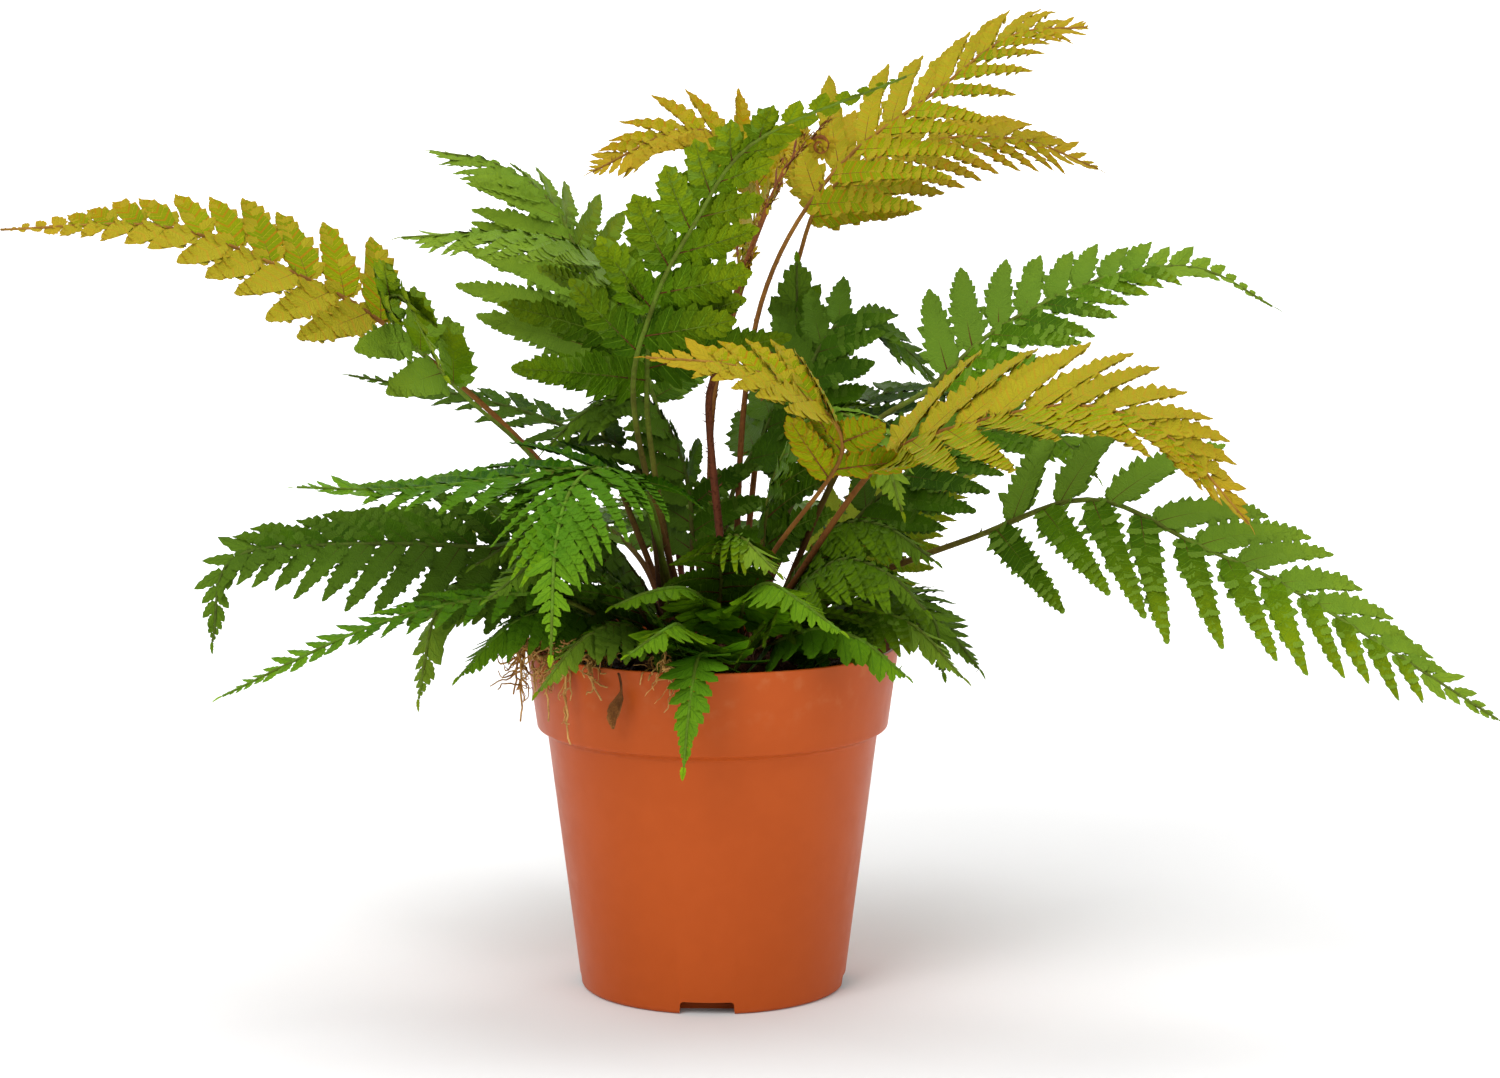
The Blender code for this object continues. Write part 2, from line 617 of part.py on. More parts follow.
def frond_mesh(frond, spine, taken):
    """The frond as one open sheet: a ribbon for stalk and midrib, with a leaflet on each edge."""
    shape = bmesh.new()
    weight = shape.verts.layers.deform.verify()

    def vertex(point, thickness):
        vert = shape.verts.new(point)
        vert[weight][0] = min(thickness / (2 * STALK_RADIUS), 1.0)
        return vert

    shares = midrib_stations(frond)
    rows = []
    for share, (right, left) in zip(shares, ribbon_edges(frond, spine)):
        thickness = 2 * stalk_half_width(frond, share)
        rows.append((vertex(right, thickness), vertex(left, thickness)))
    for (right, left), (next_right, next_left) in zip(rows, rows[1:]):
        shape.faces.new((right, next_right, next_left, left))
    end = vertex(spine[-1], 2 * STALK_TIP_RADIUS)
    shape.faces.new((rows[-1][0], end, rows[-1][1]))
    for number in range(frond.pairs):
        share = leaflet_share(frond, number)
        taper = (1 - share) ** 0.8 * (0.85 + 0.15 * min(1.0, share / 0.15))
        first = STALK_SPANS + 2 * number
        for column, side_sign in ((0, 1), (1, -1)):
            near, far = rows[first][column], rows[first + 1][column]
            tip = grown_tip(frond, spine, (near.co, far.co), share, side_sign,
                            frond.length * MM * taper, taken)
            if tip:
                shape.faces.new((near, vertex(tip, LEAF_THICKNESS), far)[::side_sign])
    return mesh_from_bmesh(frond.name, shape)


def stalk_tree(frond, spine):
    """The stalk and midrib as a closed bar, to keep other fronds' leaflets off it."""
    points, faces = [], []
    for share in midrib_stations(frond) + [1.0]:
        point, _, side, normal = station(spine, share)
        half = 1.5 * stalk_half_width(frond, share) + LEAF_CLEARANCE
        points += [point + side * half, point + normal * half,
                   point - side * half, point - normal * half]
    for start in range(0, len(points) - 4, 4):
        faces += [(start + i, start + (i + 1) % 4, start + (i + 1) % 4 + 4, start + i + 4)
                  for i in range(4)]
    return solid_tree(points, faces)


def make_fronds(parts, taken):
    """All stalks claim their room first; then the leaflets grow, each clear of all before it."""
    spines = {frond.name: spaced(stalk_route(frond.foot, frond.route), SPINE_SPANS)
              for frond in FRONDS}
    stalks = {frond.name: stalk_tree(frond, spines[frond.name]) for frond in FRONDS}
    for frond in FRONDS:
        others = [tree for name, tree in stalks.items() if name != frond.name]
        known = taken + others
        claimed = len(known)
        mesh = frond_mesh(frond, spines[frond.name], known)
        taken += known[claimed:]
        obj = add_object(frond.name, mesh, parts, frond.finish)
        obj.vertex_groups.new(name="thickness")
        shell = obj.modifiers.new("Thickness", "SOLIDIFY")
        shell.thickness = 2 * STALK_RADIUS
        shell.offset = 0.0
        shell.vertex_group = "thickness"


def stalk_radii(count, thick):
    step = (STALK_TIP_RADIUS - STALK_RADIUS * thick) / (count - 1)
    return [STALK_RADIUS * thick + step * number for number in range(count)]


def coil(start, heading, inward, radius, turns=1.2, steps=14):
    """A flat spiral that winds from start towards inward, its radius falling to a third."""
    points = []
    centre = start + inward * radius
    for step in range(1, steps + 1):
        share = step / steps
        angle = 2 * math.pi * turns * share
        reach = radius * (1 - 0.68 * share)
        points.append(centre + (heading * math.sin(angle) - inward * math.cos(angle)) * reach)
    return points


def make_croziers(parts, helpers, taken):
    for crozier in CROZIERS:
        route = spaced(stalk_route(crozier.foot, crozier.route), CROZIER_POINTS)
        spine = spaced(route, SPINE_SPANS)
        end, tangent, side, normal = station(spine, 1.0)
        tip = coil(end, tangent, -normal, crozier.coil * MM)
        radii = stalk_radii(len(route), crozier.thick) + [STALK_TIP_RADIUS] * len(tip)
        mesh = tube_mesh(crozier.name, route + tip, radii)
        obj = add_object(crozier.name, mesh, parts, "hairy_stalk")
        taken.append(mesh_tree(mesh))
        for number, (share, side_sign, length, radius) in enumerate(crozier.shoots):
            point, tangent, side, normal = station(spine, share)
            out = (tangent + side * side_sign * 1.2).normalized()
            inward = (tangent - out * tangent.dot(out)).normalized()
            points = [point, point + out * length * MM / 2, point + out * length * MM]
            points += coil(points[-1], out, inward, radius * MM, 0.9, 10)
            name = f"{crozier.name}_shoot_{number + 1}"
            shoot = tube_mesh(name, points, [STALK_TIP_RADIUS] * len(points))
            taken.append(mesh_tree(shoot))
            add_boolean(obj, "UNION", add_helper(name, shoot, helpers))


def root_route(bearing, drop, drift):
    """Up from the soil, over the lip and down the outside of the band."""
    height = HEADSPACE / MM
    clear = ROOT_RISE / MM
    turn = math.degrees(drift * MM / RIM_RADIUS)
    points = [rim_place(bearing - turn, -16, 1.5 - height), rim_place(bearing - turn / 2, -8, 0.5 * clear)]
    points += [rim_place(bearing, -1, clear), rim_place(bearing + turn / 2, 2.5, -1.0)]
    points += [rim_place(bearing + turn, 3.5, -drop / 2), rim_place(bearing + turn * 2, 4.5, -drop)]
    return spaced(through(points, 6), ROOT_POINTS - 1)


def make_roots(parts, taken):
    for number, (bearing, drop, drift) in enumerate(ROOT_STRANDS):
        points = root_route(bearing, drop, drift)
        radii = [ROOT_RADIUS * (1 - 0.4 * i / (ROOT_POINTS - 1)) for i in range(ROOT_POINTS)]
        name = f"root_strand_{number + 1}"
        mesh = tube_mesh(name, points, radii)
        taken.append(mesh_tree(mesh))
        add_object(name, mesh, parts, "dry_root")


def make_dry_leaf(parts, taken):
    """A shrivelled leaflet that hangs against the outside of the band, curled across its width."""
    shape = bmesh.new()
    bmesh.ops.create_grid(shape, x_segments=2, y_segments=4, size=0.5)
    slope = math.degrees(DRY_LEAF_WIDTH / RIM_RADIUS)
    for vert in shape.verts:
        across, down = vert.co.x, 0.5 - vert.co.y
        narrow = 0.35 + 0.65 * math.sin(math.pi * (0.15 + 0.75 * down))
        curl = 2.2 * (2 * across) ** 2
        vert.co = rim_place(DRY_LEAF_BEARING + slope * across * narrow, 2.0 + curl + 1.5 * down,
                            -(DRY_LEAF_TOP + DRY_LEAF_LENGTH * down) / MM)
    obj = add_object("dry_leaf", mesh_from_bmesh("dry_leaf", shape), parts, "dry_leaf")
    shell = obj.modifiers.new("Thickness", "SOLIDIFY")
    shell.thickness = LEAF_THICKNESS
    shell.offset = 1.0
    bpy.context.view_layer.update()
    taken.append(object_tree(obj))


def make_stubs(parts, taken):
    """What is left of old stalks that were cut off short."""
    for number, (radius, bearing, height) in enumerate(STUBS):
        angle = math.radians(bearing)
        base = Vector((radius * MM * math.cos(angle), radius * MM * math.sin(angle), crown_top() + GAP))
        lean = Vector((math.cos(angle), math.sin(angle), 0)) * 0.15
        low = base + Vector((0, 0, STUB_UPRIGHT))
        points = [base, low, low + (Vector((0, 0, 1)) + lean) * height * MM]
        name = f"old_stalk_{number + 1}"
        mesh = tube_mesh(name, points, [STUB_RADIUS, STUB_RADIUS, STUB_RADIUS * 0.8])
        taken.append(mesh_tree(mesh))
        add_object(name, mesh, parts, "hairy_stalk")


def make_collections():
    parts = bpy.data.collections.new(OBJECT_NAME)
    helpers = bpy.data.collections.new(OBJECT_NAME + "_helpers")
    for collection in (parts, helpers):
        bpy.context.scene.collection.children.link(collection)
    return parts, helpers


def main():
    for obj in list(bpy.data.objects):
        bpy.data.objects.remove(obj)
    parts, helpers = make_collections()
    make_materials()
    solids = [make_pot(parts, helpers), make_potting_mix(parts), make_crown(parts)]
    bpy.context.view_layer.update()
    taken = [object_tree(solid) for solid in solids]
    make_stubs(parts, taken)
    make_roots(parts, taken)
    make_dry_leaf(parts, taken)
    make_croziers(parts, helpers, taken)
    make_fronds(parts, taken)


if __name__ == "__main__":
    main()
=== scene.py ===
"""Looks of a potted autumn fern in a moulded plastic nursery pot.

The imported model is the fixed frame. Every frond, root and crumb here is built in that
frame: metres, +Z up, the pot's axis on Z and the front of the plant towards -Y.
"""

from __future__ import annotations

import logging
import math
import random
from dataclasses import dataclass
from enum import Enum

import bmesh
import bpy
from mathutils import Euler, Matrix, Vector

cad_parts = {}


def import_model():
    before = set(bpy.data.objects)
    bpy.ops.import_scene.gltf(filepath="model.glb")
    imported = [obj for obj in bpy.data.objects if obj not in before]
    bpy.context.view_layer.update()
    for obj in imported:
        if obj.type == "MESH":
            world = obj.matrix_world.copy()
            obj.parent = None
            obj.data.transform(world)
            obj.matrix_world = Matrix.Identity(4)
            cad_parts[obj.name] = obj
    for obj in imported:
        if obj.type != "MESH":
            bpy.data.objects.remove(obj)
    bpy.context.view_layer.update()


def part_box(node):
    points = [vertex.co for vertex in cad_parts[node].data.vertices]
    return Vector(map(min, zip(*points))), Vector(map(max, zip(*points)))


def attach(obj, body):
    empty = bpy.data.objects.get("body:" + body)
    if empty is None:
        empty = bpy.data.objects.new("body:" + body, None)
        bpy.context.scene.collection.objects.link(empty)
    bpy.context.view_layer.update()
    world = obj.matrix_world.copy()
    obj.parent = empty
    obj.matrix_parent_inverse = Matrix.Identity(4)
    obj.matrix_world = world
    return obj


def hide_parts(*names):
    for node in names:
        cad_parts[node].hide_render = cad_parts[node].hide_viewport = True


log = logging.getLogger("potted_fern")

MM = 0.001
BODY = "root"
UV_NAME = "UVMap"
GAP = 0.0004

Colour = tuple[float, float, float]
Corner = tuple[float, float, float]
Flat = tuple[float, float]
Level = tuple[int, int, int]
Piece = bpy.types.Object
Material = bpy.types.Material
Tree = bpy.types.NodeTree
Node = bpy.types.Node
Socket = bpy.types.NodeSocket

# A colour Mix node's inputs and output, which share their names with its other kinds
MIX_FIRST, MIX_SECOND, MIX_RESULT = 6, 7, 2


# ---- small tools


def srgb(red: int, green: int, blue: int) -> Colour:
    """Turn a display colour, 0 to 255 each, into linear light."""
    def linear(value: int) -> float:
        share = value / 255
        return share / 12.92 if share <= 0.04045 else ((share + 0.055) / 1.055) ** 2.4
    return linear(red), linear(green), linear(blue)


def on_circle(radius: float, bearing: float, height: float) -> Vector:
    """A point at a radius and bearing (degrees) round the pot's axis."""
    angle = math.radians(bearing)
    return Vector((radius * math.cos(angle), radius * math.sin(angle), height))


def scatter(source: random.Random, most: float) -> Vector:
    """A random step of up to the given length along each axis."""
    return Vector([source.uniform(-most, most) for _ in range(3)])


def through(points: list[Vector], per_span: int = 10) -> list[Vector]:
    """A smooth line through the points.

    Args:
        points: Where the line passes, in order.
        per_span: Steps between one point and the next.

    Returns:
        The points of the smooth line.
    """
    ends = [2 * points[0] - points[1], *points, 2 * points[-1] - points[-2]]
    curve = []
    for before, start, end, after in zip(ends, ends[1:], ends[2:], ends[3:]):
        for step in range(per_span):
            t = step / per_span
            curve.append(0.5 * (2 * start + (end - before) * t
                                + (2 * before - 5 * start + 4 * end - after) * t ** 2
                                + (3 * start - before - 3 * end + after) * t ** 3))
    return curve + [points[-1]]


def spaced(points: list[Vector], count: int) -> list[Vector]:
    """The same line as count + 1 points at equal distances along it."""
    lengths = [0.0]
    for start, end in zip(points, points[1:]):
        lengths.append(lengths[-1] + (end - start).length)
    result = []
    span = 0
    for step in range(count + 1):
        wanted = lengths[-1] * step / count
        while span < len(points) - 2 and lengths[span + 1] < wanted:
            span += 1
        share = (wanted - lengths[span]) / (lengths[span + 1] - lengths[span])
        result.append(points[span].lerp(points[span + 1], min(share, 1.0)))
    return result


class MeshDraft:
    """Collects points, faces, UVs and point values, and turns them into one object."""

    def __init__(self, name: str, values: tuple[str, ...] = ()) -> None:
        """Start an empty draft.

        Args:
            name: The object's name.
            values: Names of the numbers that each point may carry.
        """
        self.name = name
        self.points: list[Corner] = []
        self.faces: list[tuple[int, ...]] = []
        self.uvs: list[list[Flat]] = []
        self.values: dict[str, list[float]] = {value: [] for value in values}

    def point(self, place: Vector, **values: float) -> int:
        """Add a point with its values and return its number."""
        self.points.append(tuple(place))
        for name, numbers in self.values.items():
            numbers.append(values.get(name, 0.0))
        return len(self.points) - 1

    def face(self, corners: tuple[int, ...], uvs: list[Flat] | None = None) -> None:
        """Add a face, with a UV for each corner if it has them."""
        self.faces.append(corners)
        self.uvs.append(uvs or [(0.5, 0.5)] * len(corners))

    def sheet_faces(self, rows: list[list[int]]) -> None:
        """Join rows of points into a sheet, with UVs from 0 to 1 across and along it."""
        wide, long = len(rows[0]) - 1, len(rows) - 1
        for row, (low, high) in enumerate(zip(rows, rows[1:])):
            bottom, top = row / long, (row + 1) / long
            for column in range(wide):
                left, right = column / wide, (column + 1) / wide
                self.face((low[column], low[column + 1], high[column + 1], high[column]),
                          [(left, bottom), (right, bottom), (right, top), (left, top)])

    def ring_faces(self, rings: list[list[int]]) -> None:
        """Join rings of points, each to the next, with a band of faces round them."""
        for low, high in zip(rings, rings[1:]):
            for corner in range(len(low)):
                after = (corner + 1) % len(low)
                self.face((low[corner], low[after], high[after], high[corner]))

    def tube(self, line: list[Vector], radii: list[float], sides: int, **values: float) -> None:
        """Add a round tube with closed ends along a line.

        Args:
            line: The tube's centre line.
            radii: Its radius at each point of the line.
            sides: How many sides its section has.
            **values: Point values; "share" is filled with the place along the tube.
        """
        side = (line[1] - line[0]).normalized().orthogonal().normalized()
        rings = []
        for number, (centre, radius) in enumerate(zip(line, radii)):
            ahead = line[min(number + 1, len(line) - 1)] - line[max(number - 1, 0)]
            ahead.normalize()
            side = (side - ahead * side.dot(ahead)).normalized()
            other = ahead.cross(side)
            values["share"] = number / (len(line) - 1)
            ring = []
            for corner in range(sides):
                angle = 2 * math.pi * corner / sides
                offset = side * math.cos(angle) + other * math.sin(angle)
                ring.append(self.point(centre + offset * radius, **values))
            rings.append(ring)
        self.ring_faces(rings)
        self.face(tuple(reversed(rings[0])))
        self.face(tuple(rings[-1]))

    def build(self, smooth: bool = True) -> Piece:
        """Make the object, linked to the scene and standing at the origin."""
        mesh = bpy.data.meshes.new(self.name)
        mesh.from_pydata(self.points, [], self.faces)
        layer = mesh.uv_layers.new(name=UV_NAME)
        flat = [number for face in self.uvs for uv in face for number in uv]
        layer.uv.foreach_set("vector", flat)
        for name, numbers in self.values.items():
            mesh.attributes.new(name, "FLOAT", "POINT").data.foreach_set("value", numbers)
        if smooth:
            mesh.shade_smooth()
        obj = bpy.data.objects.new(self.name, mesh)
        bpy.context.scene.collection.objects.link(obj)
        return obj


def plain_mesh(obj: Piece) -> Piece:
    """Bake an object's modifiers into its mesh and take them off.

    Args:
        obj: An object with live modifiers.

    Returns:
        The same object, with a plain mesh.
    """
    graph = bpy.context.evaluated_depsgraph_get()
    mesh = bpy.data.meshes.new_from_object(obj.evaluated_get(graph))
    obj.modifiers.clear()
    old = obj.data
    obj.data = mesh
    bpy.data.meshes.remove(old)
    mesh.name = obj.name
    return obj


def dress(obj: Piece, material: Material) -> None:
    """Give an object one material, in place of any other."""
    obj.data.materials.clear()
    obj.data.materials.append(material)


def settle(obj: Piece, slot: str, *nodes: str) -> None:
    """Report a finished piece to the frame.

    Args:
        obj: The finished piece.
        slot: Not used; the name of the material slot that the piece's finish belongs to.
        *nodes: The CAD nodes that it stands for.
    """
    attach(obj, BODY)
    if nodes:
        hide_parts(*nodes)
    log.info("%s: %d faces, for %s", obj.name, len(obj.data.polygons), ", ".join(nodes) or "no node")


# ---- shader work


class Wires:
    """A short way to place and join the nodes of one tree."""

    def __init__(self, tree: Tree) -> None:
        """Take the tree to work in."""
        self.tree = tree

    def node(self, kind: str, settings: dict[str, object] | None = None, **inputs: object) -> Node:
        """Add a node.

        Args:
            kind: The node's type.
            settings: Properties to set on it.
            **inputs: Socket values or sockets to join, by socket name with _ for a space.

        Returns:
            The new node.
        """
        made = self.tree.nodes.new(kind)
        for name, value in (settings or {}).items():
            setattr(made, name, value)
        for name, value in inputs.items():
            self.feed(made, name.replace("_", " "), value)
        return made

    def join(self, socket: Socket, value: object) -> None:
        """Join another socket to an input, or set the input's own value."""
        if isinstance(value, Socket):
            self.tree.links.new(value, socket)
        else:
            socket.default_value = value

    def feed(self, node: Node, name: str | int, value: object) -> None:
        """Join or set one input of a node."""
        self.join(node.inputs[name], value)

    def math(self, operation: str, first: object, second: object = 0.0) -> Socket:
        """A Math node's result."""
        made = self.node("ShaderNodeMath", {"operation": operation})
        self.feed(made, 0, first)
        self.feed(made, 1, second)
        return made.outputs[0]

    def plus(self, first: object, second: object) -> Socket:
        """Two values added."""
        return self.math("ADD", first, second)

    def times(self, first: object, second: object) -> Socket:
        """Two values multiplied."""
        return self.math("MULTIPLY", first, second)

    def blend(self, share: object, first: object, second: object) -> Socket:
        """A colour between two, by a share."""
        made = self.node("ShaderNodeMix", {"data_type": "RGBA"})
        self.feed(made, "Factor", share)
        for place, value in ((MIX_FIRST, first), (MIX_SECOND, second)):
            self.feed(made, place, value if isinstance(value, Socket) else (*value, 1.0))
        return made.outputs[MIX_RESULT]

    def remap(self, value: Socket, low: float, high: float,
              to_low: float = 0.0, to_high: float = 1.0) -> Socket:
        """A value taken smoothly from one range to another, and held at its ends."""
        made = self.node("ShaderNodeMapRange", {"interpolation_type": "SMOOTHSTEP"})
        for name, number in (("Value", value), ("From Min", low), ("From Max", high),
                             ("To Min", to_low), ("To Max", to_high)):
            self.feed(made, name, number)
        return made.outputs["Result"]

    def noise(self, place: Socket, scale: object, detail: object) -> Socket:
        """A Noise Texture's value."""
        return self.node("ShaderNodeTexNoise", Vector=place, Scale=scale,
                         Detail=detail).outputs["Fac"]

    def object_place(self) -> Socket:
        """The piece's own coordinates."""
        return self.node("ShaderNodeTexCoord").outputs["Object"]

    def carried(self, name: str) -> Socket:
        """A value that the mesh's points carry, by its name."""
        return self.node("ShaderNodeAttribute", {"attribute_name": name}).outputs["Fac"]

    def bump(self, shader: Node, height: Socket, strength: float, distance: float) -> None:
        """Raise a shader's surface by a height."""
        made = self.node("ShaderNodeBump", Strength=strength, Distance=distance, Height=height)
        self.feed(shader, "Normal", made.outputs["Normal"])

    def group(self, tree: Tree, **inputs: object) -> Node:
        """Place a node group and feed it."""
        made = self.tree.nodes.new("ShaderNodeGroup")
        made.node_tree = tree
        for name, value in inputs.items():
            self.feed(made, name.replace("_", " "), value)
        return made


def new_group(name: str, inputs: dict[str, tuple[str, object]],
              outputs: dict[str, str]) -> tuple[Tree, Wires, Node, Node]:
    """Start a shader node group.

    Args:
        name: The group's name.
        inputs: Socket type and value by input name.
        outputs: Socket type by output name.

    Returns:
        The tree, its wires, its input node and its output node.
    """
    tree = bpy.data.node_groups.new(name, "ShaderNodeTree")
    for label, (kind, value) in inputs.items():
        socket = tree.interface.new_socket(label, in_out="INPUT", socket_type=kind)
        socket.default_value = value
    for label, kind in outputs.items():
        tree.interface.new_socket(label, in_out="OUTPUT", socket_type=kind)
    wires = Wires(tree)
    return tree, wires, wires.node("NodeGroupInput"), wires.node("NodeGroupOutput")


class Effects:
    """Shader node groups that several finishes share."""

    WIDE_SHARE, FINE_SHARE = 0.65, 0.35
    PATCH_FROM, PATCH_TO = 0.38, 0.62
    VEIN_PAIRS, VEIN_SLANT = 5.0, 3.2

    def __init__(self) -> None:
        """Build each group once."""
        self.mottle = self._mottle()
        self.grain = self._grain()
        self.veins = self._veins()

    def _mottle(self) -> Tree:
        """Soft patches of a second colour, at two sizes."""
        tree, wires, enter, leave = new_group(
            "mottle",
            {"Colour": ("NodeSocketColor", (0.5, 0.5, 0.5, 1)),
             "Patch Colour": ("NodeSocketColor", (0.3, 0.3, 0.3, 1)),
             "Patch Scale": ("NodeSocketFloat", 60.0),
             "Fine Scale": ("NodeSocketFloat", 400.0),
             "Amount": ("NodeSocketFloat", 0.4)},
            {"Colour": "NodeSocketColor", "Mask": "NodeSocketFloat"})
        place = wires.object_place()
        wide = wires.noise(place, enter.outputs["Patch Scale"], 3.0)
        fine = wires.noise(place, enter.outputs["Fine Scale"], 2.0)
        both = wires.plus(wires.times(wide, self.WIDE_SHARE), wires.times(fine, self.FINE_SHARE))
        mask = wires.times(wires.remap(both, self.PATCH_FROM, self.PATCH_TO),
                           enter.outputs["Amount"])
        mixed = wires.blend(mask, enter.outputs["Colour"], enter.outputs["Patch Colour"])
        wires.feed(leave, "Colour", mixed)
        wires.feed(leave, "Mask", mask)
        return tree

    def _grain(self) -> Tree:
        """A fine uneven surface as a height."""
        tree, wires, enter, leave = new_group(
            "grain",
            {"Scale": ("NodeSocketFloat", 900.0), "Detail": ("NodeSocketFloat", 3.0)},
            {"Height": "NodeSocketFloat"})
        height = wires.noise(wires.object_place(), enter.outputs["Scale"], enter.outputs["Detail"])
        wires.feed(leave, "Height", height)
        return tree

    def _veins(self) -> Tree:
        """A leaflet's midrib, slanting side veins and margin, from its own UV map."""
        tree, wires, _, leave = new_group(
            "leaf_veins", {}, {"Midrib": "NodeSocketFloat", "Side Veins": "NodeSocketFloat",
                               "Margin": "NodeSocketFloat"})
        own = wires.node("ShaderNodeUVMap", {"uv_map": UV_NAME}).outputs["UV"]
        split = wires.node("ShaderNodeSeparateXYZ", Vector=own)
        across = wires.math("ABSOLUTE", wires.math("SUBTRACT", split.outputs["X"], 0.5))
        along = split.outputs["Y"]
        slant = wires.math("SUBTRACT", wires.times(along, self.VEIN_PAIRS),
                           wires.times(across, self.VEIN_SLANT))
        ripple = wires.math("ABSOLUTE", wires.math("SUBTRACT", wires.math("FRACT", slant), 0.5))
        wires.feed(leave, "Midrib", wires.remap(across, 0.015, 0.06, 1.0, 0.0))
        wires.feed(leave, "Side Veins", wires.remap(ripple, 0.03, 0.14, 1.0, 0.0))
        edge = wires.remap(across, 0.34, 0.5)
        end = wires.remap(along, 0.80, 1.0)
        wires.feed(leave, "Margin", wires.math("MAXIMUM", edge, end))
        return tree


def new_material(name: str) -> tuple[Material, Wires, Node]:
    """A material with its Principled shader.

    Args:
        name: The material's name.

    Returns:
        The material, its wires and the shader.
    """
    material = bpy.data.materials.new(name)
    material.use_nodes = True
    tree = material.node_tree
    return material, Wires(tree), tree.nodes["Principled BSDF"]


@dataclass(frozen=True)
class LeafFinish:
    """Colours of one kind of leaf, and how it shines."""

    name: str
    blade: Colour
    deep: Colour
    young: Colour
    margin: Colour
    vein: Colour
    under: Colour
    margin_share: float = 0.0
    patch_scale: float = 140.0
    fine_scale: float = 700.0
    patch_amount: float = 0.35
    midrib_share: float = 0.55
    side_vein_share: float = 0.22
    under_share: float = 0.6
    grain_scale: float = 1400.0
    relief: float = 0.0006
    roughness: float = 0.42
    uneven_shine: float = 0.16
    shine: float = 0.035

    def build(self, effects: Effects) -> Material:
        """Make the leaf's material.

        Args:
            effects: The shared node groups.

        Returns:
            The material.
        """
        material, wires, shader = new_material(self.name)
        tone = wires.carried("tone")
        age = wires.carried("age")
        veins = wires.group(effects.veins).outputs
        body = wires.blend(tone, self.deep, self.blade)
        body = wires.blend(wires.remap(age, 0.35, 1.0), body, self.young)
        body = wires.group(effects.mottle, Colour=body, Patch_Colour=(*self.deep, 1.0),
                           Patch_Scale=self.patch_scale, Fine_Scale=self.fine_scale,
                           Amount=self.patch_amount).outputs["Colour"]
        body = wires.blend(wires.times(veins["Margin"], self.margin_share), body, self.margin)
        body = wires.blend(wires.times(veins["Midrib"], self.midrib_share), body, self.vein)
        body = wires.blend(wires.times(veins["Side Veins"], self.side_vein_share), body, self.deep)
        back = wires.node("ShaderNodeNewGeometry").outputs["Backfacing"]
        body = wires.blend(wires.times(back, self.under_share), body, self.under)
        wires.feed(shader, "Base Color", body)
        grain = wires.group(effects.grain, Scale=self.grain_scale, Detail=2.0).outputs["Height"]
        ridge = wires.plus(wires.times(veins["Side Veins"], -0.5), wires.times(veins["Midrib"], -0.9))
        wires.bump(shader, wires.plus(ridge, wires.times(grain, 0.5)), 0.55, self.relief)
        rough = wires.plus(wires.times(grain, self.uneven_shine), self.roughness)
        wires.feed(shader, "Roughness", rough)
        wires.feed(shader, "Specular IOR Level", self.shine)
        return material


@dataclass(frozen=True)
class BarkFinish:
    """A dull natural surface: stalk, root, soil or dead leaf."""

    name: str
    low: Colour
    high: Colour
    patch: Colour
    patch_scale: float = 90.0
    patch_amount: float = 0.5
    grain_scale: float = 1200.0
    roughness: float = 0.8
    relief: float = 0.0004
    ends_at: float = 1.0
    fine_ratio: float = 7.0
    shine: float = 0.12

    def build(self, effects: Effects) -> Material:
        """Make the material, which turns from low to high along the piece's share value."""
        material, wires, shader = new_material(self.name)
        body = wires.blend(wires.remap(wires.carried("share"), 0.1, self.ends_at), self.low, self.high)
        body = wires.group(effects.mottle, Colour=body, Patch_Colour=(*self.patch, 1.0),
                           Patch_Scale=self.patch_scale, Fine_Scale=self.patch_scale * self.fine_ratio,
                           Amount=self.patch_amount).outputs["Colour"]
        wires.feed(shader, "Base Color", body)
        grain = wires.group(effects.grain, Scale=self.grain_scale).outputs["Height"]
        wires.bump(shader, grain, 0.7, self.relief)
        wires.feed(shader, "Roughness", wires.plus(wires.times(grain, 0.2), self.roughness - 0.1))
        wires.feed(shader, "Specular IOR Level", self.shine)
        return material


